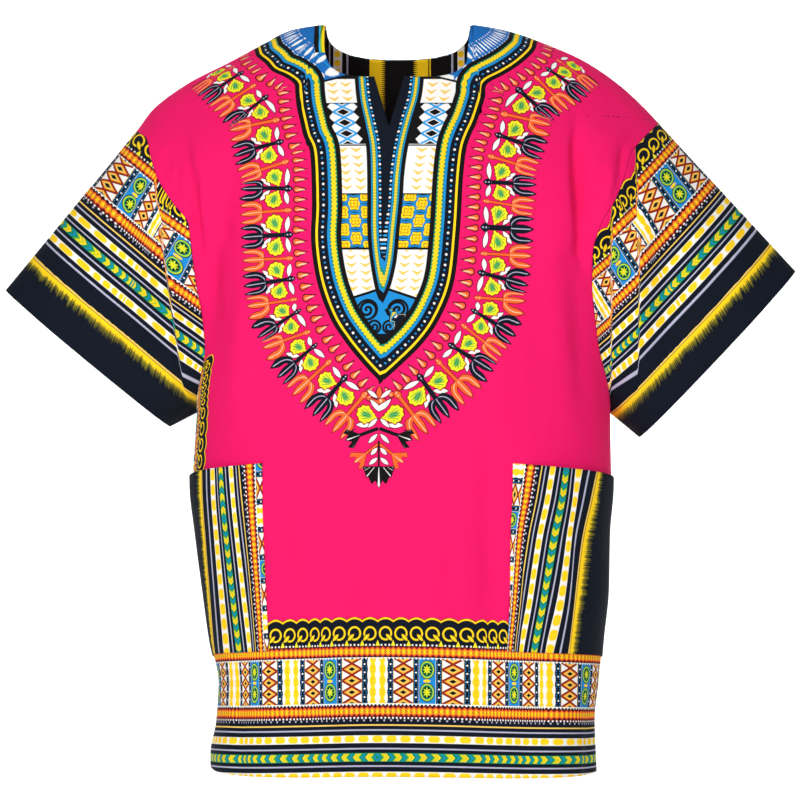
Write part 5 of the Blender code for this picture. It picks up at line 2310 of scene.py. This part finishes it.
@dataclass(frozen=True)
class FlowerRing(PrintedCotton):
    """The ring round the yoke: drops, fans, leaves, and black and orange tulips on pink."""

    step: float = PLAN.fan_step

    def paint(self, tree: bpy.types.NodeTree) -> Reading:
        """The ring's colour.

        Args:
            tree: The material's node tree.

        Returns:
            The colour.
        """
        painter = Painter(tree, Ink.PINK)
        travel, out, edge_along = self.mark(tree, "ring_mm")
        _, edge, _ = self.mark(tree, "yoke_mm")
        across, down, _ = self.mark(tree, "chest_mm")
        side = travel.mirrored(self.step)
        past_middle = travel.over(self.step * 0.45) * travel.under(self.step * 19.6)
        self.paint_drops(painter, edge_along, edge)
        self.paint_leaves(painter, side, out)
        self.paint_fans(painter, side, out)
        other = side.math("MULTIPLY_ADD", -1.0, self.step)
        self.paint_tulip(painter, other, out, past_middle, (Ink.BROWN, Ink.ORANGE, Ink.PEACH))
        self.paint_tulip(painter, side, out, past_middle, (Ink.NAVY, Ink.NAVY, Ink.LAVENDER))
        self.paint_finial(painter, abs(across), down)
        return painter.colour

    def paint_drops(self, painter: Painter, along: Reading, edge: Reading) -> None:
        """The row of orange drops, their points towards the yoke.

        Args:
            painter: The painting so far.
            along: Millimetres along the yoke's edge.
            edge: Millimetres out from the yoke's edge.
        """
        aside = along.repeated(5.1)
        shape = drop(edge - 4.0, aside, 13.8, 7.2)
        painter.nest(shape, ((0.3, Ink.WINE), (-1.0, Ink.ORANGE)))
        painter.lay(oval(edge - 11.0, aside + 0.5, 4.4, 0.8).under(1.0, 0.5), Ink.PEACH)

    def paint_leaves(self, painter: Painter, side: Reading, out: Reading) -> None:
        """The white leaves beside each black stem, an inner and an outer pair.

        Args:
            painter: The painting so far.
            side: Millimetres from the nearest black tulip's middle line.
            out: Millimetres out from the ring's middle.
        """
        for place, degrees, length in ((Spot(2.6, -11.2), -10.0, 14.0), (Spot(2.2, 4.0), 44.0, 13.0)):
            first, second = turned(side, out, place, degrees)
            shape = leaf(first, second, length, 4.4)
            painter.nest(shape, ((0.9, Ink.WINE), (0.0, Ink.WHITE)))

    def paint_fans(self, painter: Painter, side: Reading, out: Reading) -> None:
        """The yellow fans, their points towards the black stems.

        Args:
            painter: The painting so far.
            side: Millimetres from the nearest black tulip's middle line.
            out: Millimetres out from the ring's middle.
        """
        first, second = turned(side, out, Spot(1.2, -4.6), 24.0)
        angle = second.math("ARCTAN2", first - 9.0)
        frill = (angle * 11.0).math("COSINE")
        shape = frill.math("MULTIPLY_ADD", 0.45, drop(first, second, 19.0, 17.4))
        painter.nest(shape, ((0.6, Ink.BROWN), (-0.6, Ink.LEMON)))
        spread = second.math("ARCTAN2", first)
        vein = spread.mirrored(0.085)
        inner = shape.under(-2.8)
        painter.lay(vein.under(0.042, 0.02) * inner, Ink.LEAF)
        painter.lay(oval(first - 10.5, second, 4.0, 2.6).under(1.0, 0.5) * vein.over(0.03, 0.02), Ink.TEAL)

    def paint_tulip(
        self, painter: Painter, side: Reading, out: Reading, shown: Reading, inks: tuple[Ink, Ink, Ink]
    ) -> None:
        """A stem with a bud at its inner end and a head of three prongs at its outer end.

        Args:
            painter: The painting so far.
            side: Millimetres from the stem's middle line.
            out: Millimetres out from the ring's middle.
            shown: 1 where stems show.
            inks: The outline, the flesh and the veins.
        """
        outline, flesh, veins = inks
        bud = leaf(out + 17.5, side, 9.0, 5.4)
        stem = abs(out + 1.5) - 13.5
        thickness = stem.math("MAXIMUM", side - 1.5)
        short = (out - 22.0).math("MAXIMUM", 0.0)
        taper = (short * short).math("MULTIPLY_ADD", -2.9 / 11.5**2, 2.9)
        low = (out - 22.0).math("MINIMUM", 0.0)
        cup = abs(oval(side, low, 8.4, 10.6) - 1.0) * 9.4
        prong = (cup - taper).math("MAXIMUM", (out - 11.0) * -1.0)
        middle = (side - taper).math("MAXIMUM", (out - 11.0) * -1.0)
        head = prong.math("MINIMUM", middle)
        body = head.math("MINIMUM", thickness.math("MINIMUM", bud))
        painter.lay(body.under(0.5) * shown, outline)
        painter.lay(body.under(-0.3) * shown, flesh)
        vein = cup.math("MINIMUM", side)
        painter.lay(vein.under(0.35) * head.under(-1.0) * shown, veins)
        dash = out.mirrored(1.5)
        painter.lay(side.under(0.6) * dash.under(0.7) * bud.under(-0.9) * shown, veins)

    def paint_finial(self, painter: Painter, across: Reading, down: Reading) -> None:
        """The spray at the ring's lowest point.

        Args:
            painter: The painting so far.
            across: Millimetres from the print's middle line.
            down: Millimetres down from the neckline.
        """
        lowest = leaf(down - 299.5, across, 14.0, 7.6)
        painter.nest(lowest, ((0.0, Ink.WINE), (-1.4, Ink.ORANGE)))
        stems = (
            (Spot(1.0, 340.5), 20.0, 30.0, Ink.BLACK, Ink.WHITE, 17.0),
            (Spot(0.6, 355.0), 38.0, 27.0, Ink.ORANGE, Ink.PEACH, 14.0),
        )
        for place, degrees, length, flesh, veins, head_start in stems:
            first, second = turned(across, down, place, degrees)
            stem = (abs(first - length / 2.0) - length / 2.0).math("MAXIMUM", abs(second) - 1.1)
            spread = first - head_start
            notch = abs(second).mirrored(3.4)
            ragged = notch.math("MULTIPLY_ADD", 1.6, spread) - 15.0
            head = (abs(second) - spread * 0.85).math("MAXIMUM", ragged)
            shape = head.math("MINIMUM", stem)
            painter.lay(shape.under(0.6), Ink.BROWN if flesh is Ink.ORANGE else Ink.NAVY)
            painter.lay(shape.under(-0.2), flesh)
            ray = abs(second).math("DIVIDE", spread.math("MAXIMUM", 0.5))
            painter.lay(ray.mirrored(0.40).under(0.045, 0.04) * head.under(-0.9), veins)
        leaves = (
            (Spot(1.6, 311.5), -38.0, 12.0), (Spot(1.4, 331.0), 44.0, 12.0), (Spot(1.4, 345.5), 46.0, 12.0),
            (Spot(1.4, 358.5), 48.0, 9.0), (Spot(1.4, 368.0), 40.0, 10.0),
        )
        for place, degrees, length in leaves:
            first, second = turned(across, down, place, degrees)
            shape = leaf(first, second, length, 3.6)
            painter.nest(shape, ((0.8, Ink.WINE), (0.0, Ink.WHITE)))
        stalk = (abs(down - 366.0) - 14.0).math("MAXIMUM", across - 0.9)
        painter.lay(stalk.under(0.0), Ink.BLACK)
        level = down - 376.0
        crown = (across - level.math("MULTIPLY_ADD", -0.35, 15.5)).math("MAXIMUM", (level * -1.0))
        point = (level - 21.0) + across * 0.55 + across.mirrored(3.4) * 1.6
        shape = crown.math("MAXIMUM", point)
        painter.lay(shape.under(0.0), Ink.BLACK)
        ray = across.math("DIVIDE", (level + 4.0).math("MAXIMUM", 0.5))
        painter.lay(ray.mirrored(0.42).under(0.045, 0.04) * shape.under(-1.0), Ink.WHITE)


@dataclass(frozen=True)
class Yoke(PrintedCotton):
    """The yoke: edged with bands, filled with blocks of chevrons, lattices and scrolls."""

    band_dots: float = 11.0
    band_core: float = 21.1
    band_dot_step: float = 5.2
    chevron_step: float = 7.4
    lattice_middle: float = 48.5
    lattice_half_height: float = 20.6
    flowers_middle: float = 144.0
    flowers_half_height: float = 25.4
    flower_step_across: float = 12.0
    flower_step_down: float = 8.3
    shoulder_level: float = -12.4
    dash_middle: float = 38.5
    dash_step: float = 2.7
    neck_band: float = 10.5
    dot_depth: float = 12.3
    dot_step: float = 4.05

    def paint(self, tree: bpy.types.NodeTree) -> Reading:
        """The yoke's colour.

        Args:
            tree: The material's node tree.

        Returns:
            The colour.
        """
        along, outside, beyond_inner = self.mark(tree, "yoke_mm")
        across, down, from_neck = self.mark(tree, "chest_mm")
        edge = outside * -1.0
        side = abs(across)
        painter = Painter(tree, self.blocks(side, down))
        self.paint_shoulder(painter, side, down, along, edge)
        self.paint_neck_band(painter, across, down, from_neck)
        self.paint_inner(painter, beyond_inner, down)
        rows = (
            Stripe(-1.0, Ink.PINK), Stripe(0.0, Ink.BLACK), Stripe(4.3, Ink.YELLOW), Stripe(6.6, Ink.NAVY),
            Stripe(15.4, Ink.BLUE), Stripe(17.8, Ink.TEAL), Stripe(24.4, Ink.BLACK),
        )
        painter.lay(edge.under(29.0), stripes(edge, rows, 31.0))
        tooth = along.mirrored(2.0)
        core = tooth.math("MULTIPLY_ADD", 0.8, abs(edge - self.band_core))
        painter.nest(core, ((2.9, Ink.YELLOW), (0.5, Ink.AMBER)))
        for shift, radius, ink in ((0.0, 1.2, Ink.WHITE), (self.band_dot_step, 0.95, Ink.BLUE)):
            dot = oval((along + shift).repeated(self.band_dot_step), edge - self.band_dots, 1.0, 1.0)
            painter.lay(dot.under(radius), ink)
        return painter.colour

    def blocks(self, side: Reading, down: Reading) -> Reading:
        """The blocks down the yoke.

        Args:
            side: Millimetres from the print's middle line.
            down: Millimetres down from the neckline.

        Returns:
            The colour.
        """
        slanted = side.math("MULTIPLY_ADD", -0.33, down)
        level = down.math("MINIMUM", 195.0).math("MAXIMUM", slanted)
        rows = (
            Stripe(0.0, Ink.BLACK), Stripe(2.0, Ink.WHITE), Stripe(25.8, Ink.BLACK), Stripe(27.6, Ink.WHITE),
            Stripe(69.3, Ink.BLACK), Stripe(70.8, Ink.WHITE), Stripe(116.6, Ink.BLACK),
            Stripe(171.0, Ink.WHITE), Stripe(206.0, Ink.BLACK), Stripe(208.0, Ink.BLUE),
        )
        painter = Painter(side.tree, stripes(level, rows, 330.0))
        high = down.math("MULTIPLY_ADD", -0.16, 17.0).math("MAXIMUM", 0.0)
        low = down.math("MULTIPLY_ADD", 0.12, -14.4).math("MAXIMUM", 0.0)
        middle = side - 33.0 - high + low
        column = abs(abs(middle) - 6.6)
        chevron = column.math("MULTIPLY_ADD", 0.6, down).math("WRAP", self.chevron_step, 0.0)
        on_white = down.near(13.9, 11.4) + down.near(93.7, 22.4) + level.near(188.5, 16.8)
        wing = column.math("MULTIPLY_ADD", 0.26, abs(chevron - 1.9))
        painter.lay(wing.under(1.75) * column.under(5.2) * on_white, Ink.SAND)
        self.paint_lattice(painter, middle, down)
        self.paint_flowers(painter, middle, down)
        self.paint_scrolls(painter, side, down, level)
        return painter.colour

    def paint_lattice(self, painter: Painter, middle: Reading, down: Reading) -> None:
        """Black diamonds in blue outlines, with black teeth at both sides.

        Args:
            painter: The painting so far.
            middle: Millimetres from the block's middle line.
            down: Millimetres down from the neckline.
        """
        lattice = Painter(painter.tree, Ink.WHITE)
        level = (down - 47.6).mirrored(5.45)
        aside = abs(middle)
        diamond = aside.math("MULTIPLY_ADD", 0.55, level)
        lattice.lay(diamond.near(5.45, 1.15), Ink.DEEP_BLUE)
        lattice.lay(diamond.near(5.45, 0.75), Ink.SKY)
        lattice.lay(diamond.under(3.3), Ink.BLACK)
        tooth = level.math("MULTIPLY_ADD", -0.9, aside)
        lattice.lay(tooth.over(9.6), Ink.BLACK)
        painter.lay(down.near(self.lattice_middle, self.lattice_half_height), lattice.colour)

    def paint_flowers(self, painter: Painter, middle: Reading, down: Reading) -> None:
        """Yellow flowers, staggered, among blue curls on black.

        Args:
            painter: The painting so far.
            middle: Millimetres from the block's middle line.
            down: Millimetres down from the neckline.
        """
        bed = Painter(painter.tree, Ink.BLACK)
        level = down - self.flowers_middle
        for shift in (0.0, 1.0):
            across = (middle + self.flower_step_across * shift).repeated(self.flower_step_across)
            along = (level + self.flower_step_down * shift).repeated(self.flower_step_down)
            reach = oval(across, along, 1.0, 1.0)
            angle = (along.math("ARCTAN2", across) * 4.0).math("COSINE")
            flower = angle.math("MULTIPLY_ADD", 0.9, reach)
            bed.lay(flower.near(7.9, 0.8), Ink.BLUE)
            bed.lay(flower.under(6.3), Ink.YELLOW)
            bed.lay(flower.near(3.6, 0.35), Ink.BROWN)
            bed.lay(reach.under(1.3), Ink.AMBER)
        painter.lay(abs(level).under(self.flowers_half_height), bed.colour)

    def paint_scrolls(self, painter: Painter, side: Reading, down: Reading, level: Reading) -> None:
        """The scrolls at the yoke's point, black on blue.

        Args:
            painter: The painting so far.
            side: Millimetres from the print's middle line.
            down: Millimetres down from the neckline.
            level: Millimetres down, slanted at the sides.
        """
        below = level.over(208.0)
        painter.lay(down.over(251.0) * below, Ink.NAVY)
        for place, radius, turn in ((Spot(14.4, 228.4), 9.2, 4.7), (Spot(7.2, 244.6), 5.8, 3.9)):
            first, second = turned(side, down, place, 0.0)
            reach = oval(first, second, 1.0, 1.0)
            angle = second.math("ARCTAN2", first) * (turn / (2.0 * math.pi))
            arm = (reach + angle).math("WRAP", turn, 0.0)
            painter.lay(reach.under(radius) * below, Ink.BLUE)
            painter.lay(reach.near(radius, 1.1) * below, Ink.BLACK)
            painter.lay(arm.under(turn * 0.55) * reach.under(radius) * below, Ink.BLACK)
        vee = side.math("MULTIPLY_ADD", 1.1, down)
        painter.lay(vee.near(265.5, 0.8) * side.under(9.0) * below, Ink.SKY)

    def paint_shoulder(
        self, painter: Painter, side: Reading, down: Reading, along: Reading, edge: Reading
    ) -> None:
        """The blue field on the shoulder, with a row of white dashes between dotted edges.

        Args:
            painter: The painting so far.
            side: Millimetres from the print's middle line.
            down: Millimetres down from the neckline.
            along: Millimetres along the yoke's edge.
            edge: Millimetres in from the yoke's edge.
        """
        slant = side.math("MULTIPLY_ADD", -0.25, down)
        painter.lay(slant.under(self.shoulder_level + 2.2), Ink.BLACK)
        shoulder = Painter(painter.tree, Ink.DEEP_BLUE)
        aside = along.repeated(self.dash_step)
        shoulder.lay(edge.near(self.dash_middle, 0.8), Ink.BLUE)
        shoulder.lay(oval(edge - self.dash_middle, aside, 6.8, 1.15).under(1.0, 0.3), Ink.WHITE)
        dots = oval(aside, abs(edge - self.dash_middle) - 9.2, 1.0, 1.0)
        shoulder.lay(dots.under(0.9), Ink.WHITE)
        painter.lay(slant.under(self.shoulder_level), shoulder.colour)

    def paint_neck_band(self, painter: Painter, across: Reading, down: Reading, from_neck: Reading) -> None:
        """The narrow band along the neckline on the wearer's right shoulder.

        Args:
            painter: The painting so far.
            across: Millimetres to the viewer's right of the print's middle line.
            down: Millimetres down from the neckline.
            from_neck: Millimetres from the neckline.
        """
        rows = (
            Stripe(0.0, Ink.YELLOW), Stripe(2.6, Ink.LEAF), Stripe(4.2, Ink.SKY), Stripe(5.6, Ink.BLACK),
        )
        band = from_neck.under(self.neck_band) * down.under(-26.0) * across.under(0.0)
        painter.lay(band, stripes(from_neck, rows, 11.0))

    def paint_inner(self, painter: Painter, beyond_inner: Reading, down: Reading) -> None:
        """The U round the slit: bands, then navy with columns of dots.

        Args:
            painter: The painting so far.
            beyond_inner: Millimetres outside the inner U.
            down: Millimetres down from the neckline.
        """
        depth = beyond_inner * -1.0
        rows = (
            Stripe(-1.0, Ink.BLACK), Stripe(3.8, Ink.BLUE), Stripe(5.0, Ink.TEAL), Stripe(5.7, Ink.YELLOW),
            Stripe(8.3, Ink.TEAL), Stripe(9.0, Ink.BLUE), Stripe(10.6, Ink.NAVY),
        )
        painter.lay(depth.over(0.0), stripes(depth, rows, 11.0))
        fleck = oval(depth - 7.0, down.repeated(1.5), 1.9, 0.6)
        painter.lay(fleck.near(1.0, 0.3), Ink.TEAL)
        white = oval(depth - self.dot_depth, down.repeated(self.dot_step), 1.0, 1.0)
        painter.lay(white.under(1.15), Ink.WHITE)
        blue = oval(depth - self.dot_depth, (down + self.dot_step).repeated(self.dot_step), 1.0, 1.0)
        painter.lay(blue.under(0.9), Ink.SKY)


@dataclass(frozen=True)
class FacingStripes(PrintedCotton):
    """The facing inside the back neck, cut from the border: upright stripes on black."""

    def paint(self, tree: bpy.types.NodeTree) -> Reading:
        """The facing's colour.

        Args:
            tree: The material's node tree.

        Returns:
            The colour.
        """
        across, down, _ = self.mark(tree, "facing_mm")
        rows = (
            Stripe(-80.0, Ink.BLACK), Stripe(-73.6, Ink.LAVENDER), Stripe(-72.2, Ink.BLACK),
            Stripe(-69.0, Ink.WHITE), Stripe(-60.5, Ink.BLACK), Stripe(-55.7, Ink.LAVENDER),
            Stripe(-54.3, Ink.BLACK), Stripe(-32.5, Ink.YELLOW), Stripe(-25.5, Ink.BLACK),
            Stripe(21.0, Ink.YELLOW), Stripe(26.0, Ink.BLACK), Stripe(27.0, Ink.YELLOW),
            Stripe(28.2, Ink.BLACK), Stripe(49.3, Ink.LAVENDER), Stripe(50.7, Ink.BLACK),
            Stripe(55.5, Ink.WHITE), Stripe(62.5, Ink.BLACK), Stripe(66.3, Ink.LAVENDER),
            Stripe(67.7, Ink.BLACK),
        )
        painter = Painter(tree, stripes(across, rows, 80.0))
        for middle in (-64.8, 59.0):
            block = oval(across - middle, down.repeated(4.6), 3.2, 3.4)
            painter.lay(block.under(1.0, 0.2), Ink.YELLOW)
        tooth = down.mirrored(1.0) * 5.0
        painter.lay((across - tooth).under(-21.5) * across.over(-26.0), Ink.YELLOW)
        painter.lay((across + tooth).over(16.0) * across.under(21.5), Ink.YELLOW)
        return painter.colour


FINISHES = {
    "plain": PrintedCotton("pink_printed_cotton"),
    "ring": FlowerRing("flower_ring_on_cotton"),
    "yoke": Yoke("yoke_print_on_cotton"),
    "side": BandedBorder("side_border_on_cotton", mark_name="side_mm"),
    "hem": BandedBorder("hem_border_on_cotton", mark_name="hem_mm"),
    "border": BandedBorder("navy_border_on_cotton"),
    "facing": FacingStripes("striped_facing_cotton", inner_fade=0.0),
}


@dataclass(frozen=True)
class Softbox:
    """A large lamp with a diffuser."""

    name: str
    place: tuple[float, float, float]
    size: float
    power: float
    aim: tuple[float, float, float] = (0.0, 0.0, -0.37)


@dataclass(frozen=True)
class Studio:
    """A pale floor that curves up behind, soft lamps, and the camera level in front."""

    floor_z: float = -0.86
    floor_reach: float = 4.6
    wall_y: float = 4.2
    wall_height: float = 3.2
    bend: float = 0.6
    world_light: float = 0.27
    lamps: tuple[Softbox, ...] = (
        Softbox("key", (-0.8, -2.3, 0.2), 0.8, 37.0),
        Softbox("fill", (1.5, -2.1, -0.2), 1.6, 17.0),
        Softbox("top", (0.0, 0.1, 1.9), 1.8, 9.0),
        Softbox("backdrop", (0.0, 1.4, 1.9), 2.4, 150.0, (0.0, 4.2, -0.3)),
    )

    def build(self) -> None:
        """Build the studio."""
        self.build_floor()
        for lamp in self.lamps:
            bpy.ops.object.light_add(type="AREA", location=lamp.place)
            light = bpy.context.object
            light.name = lamp.name
            light.data.size = lamp.size
            light.data.energy = lamp.power
            aim = Vector(lamp.aim) - Vector(lamp.place)
            light.rotation_euler = aim.to_track_quat("-Z", "Y").to_euler()
        world = bpy.data.worlds.new("even_light")
        world.use_nodes = True
        world.node_tree.nodes["Background"].inputs[0].default_value = (1.0, 1.0, 1.0, 1.0)
        world.node_tree.nodes["Background"].inputs[1].default_value = self.world_light
        bpy.context.scene.world = world
        bpy.context.scene.view_settings.view_transform = "Standard"
        bpy.ops.object.camera_add(
            location=(VIEW.eye_x, -VIEW.distance, VIEW.eye_z), rotation=(math.radians(90.0), 0.0, 0.0)
        )
        camera = bpy.context.object
        camera.data.sensor_width = SENSOR_WIDTH
        camera.data.lens = SENSOR_WIDTH * VIEW.distance / VIEW.seen_width
        bpy.context.scene.camera = camera

    def build_floor(self) -> None:
        """A floor that bends up into a wall, so that no line shows behind the shirt."""
        profile = [(-self.floor_reach, self.floor_z)]
        for turn in np.linspace(0.0, math.pi / 2.0, 13):
            y = self.wall_y - self.bend + self.bend * math.sin(turn)
            profile.append((y, self.floor_z + self.bend * (1.0 - math.cos(turn))))
        profile.append((self.wall_y, self.floor_z + self.wall_height))
        across = np.linspace(-self.floor_reach, self.floor_reach, 3)
        points = np.array([[(x, y, z) for x in across] for y, z in profile])
        floor = sheet_of("studio_floor", points, {})
        material = bpy.data.materials.new("pale_floor")
        material.use_nodes = True
        shader = material.node_tree.nodes["Principled BSDF"]
        shader.inputs["Base Color"].default_value = linear("FAFAFA")
        shader.inputs["Roughness"].default_value = 0.9
        floor.data.materials.append(material)
        bpy.ops.object.shade_smooth()


def main() -> None:
    """Light the set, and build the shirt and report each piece."""
    logging.basicConfig(level=logging.INFO)
    Studio().build()
    body = Body()
    for part in (
        PanelCloth("back", Face.BACK, body),
        PanelCloth("front", Face.FRONT, body),
        SleeveCloth("sleeve_left", Side.LEFT, body),
        SleeveCloth("sleeve_right", Side.RIGHT, body),
        PocketCloth("pocket_left", Side.LEFT, body),
        PocketCloth("pocket_right", Side.RIGHT, body),
        FacingCloth(body),
    ):
        cloth = part.build()
        log.info("%s: %d faces", cloth.name, len(cloth.data.polygons))


if __name__ == "__main__":
    main()
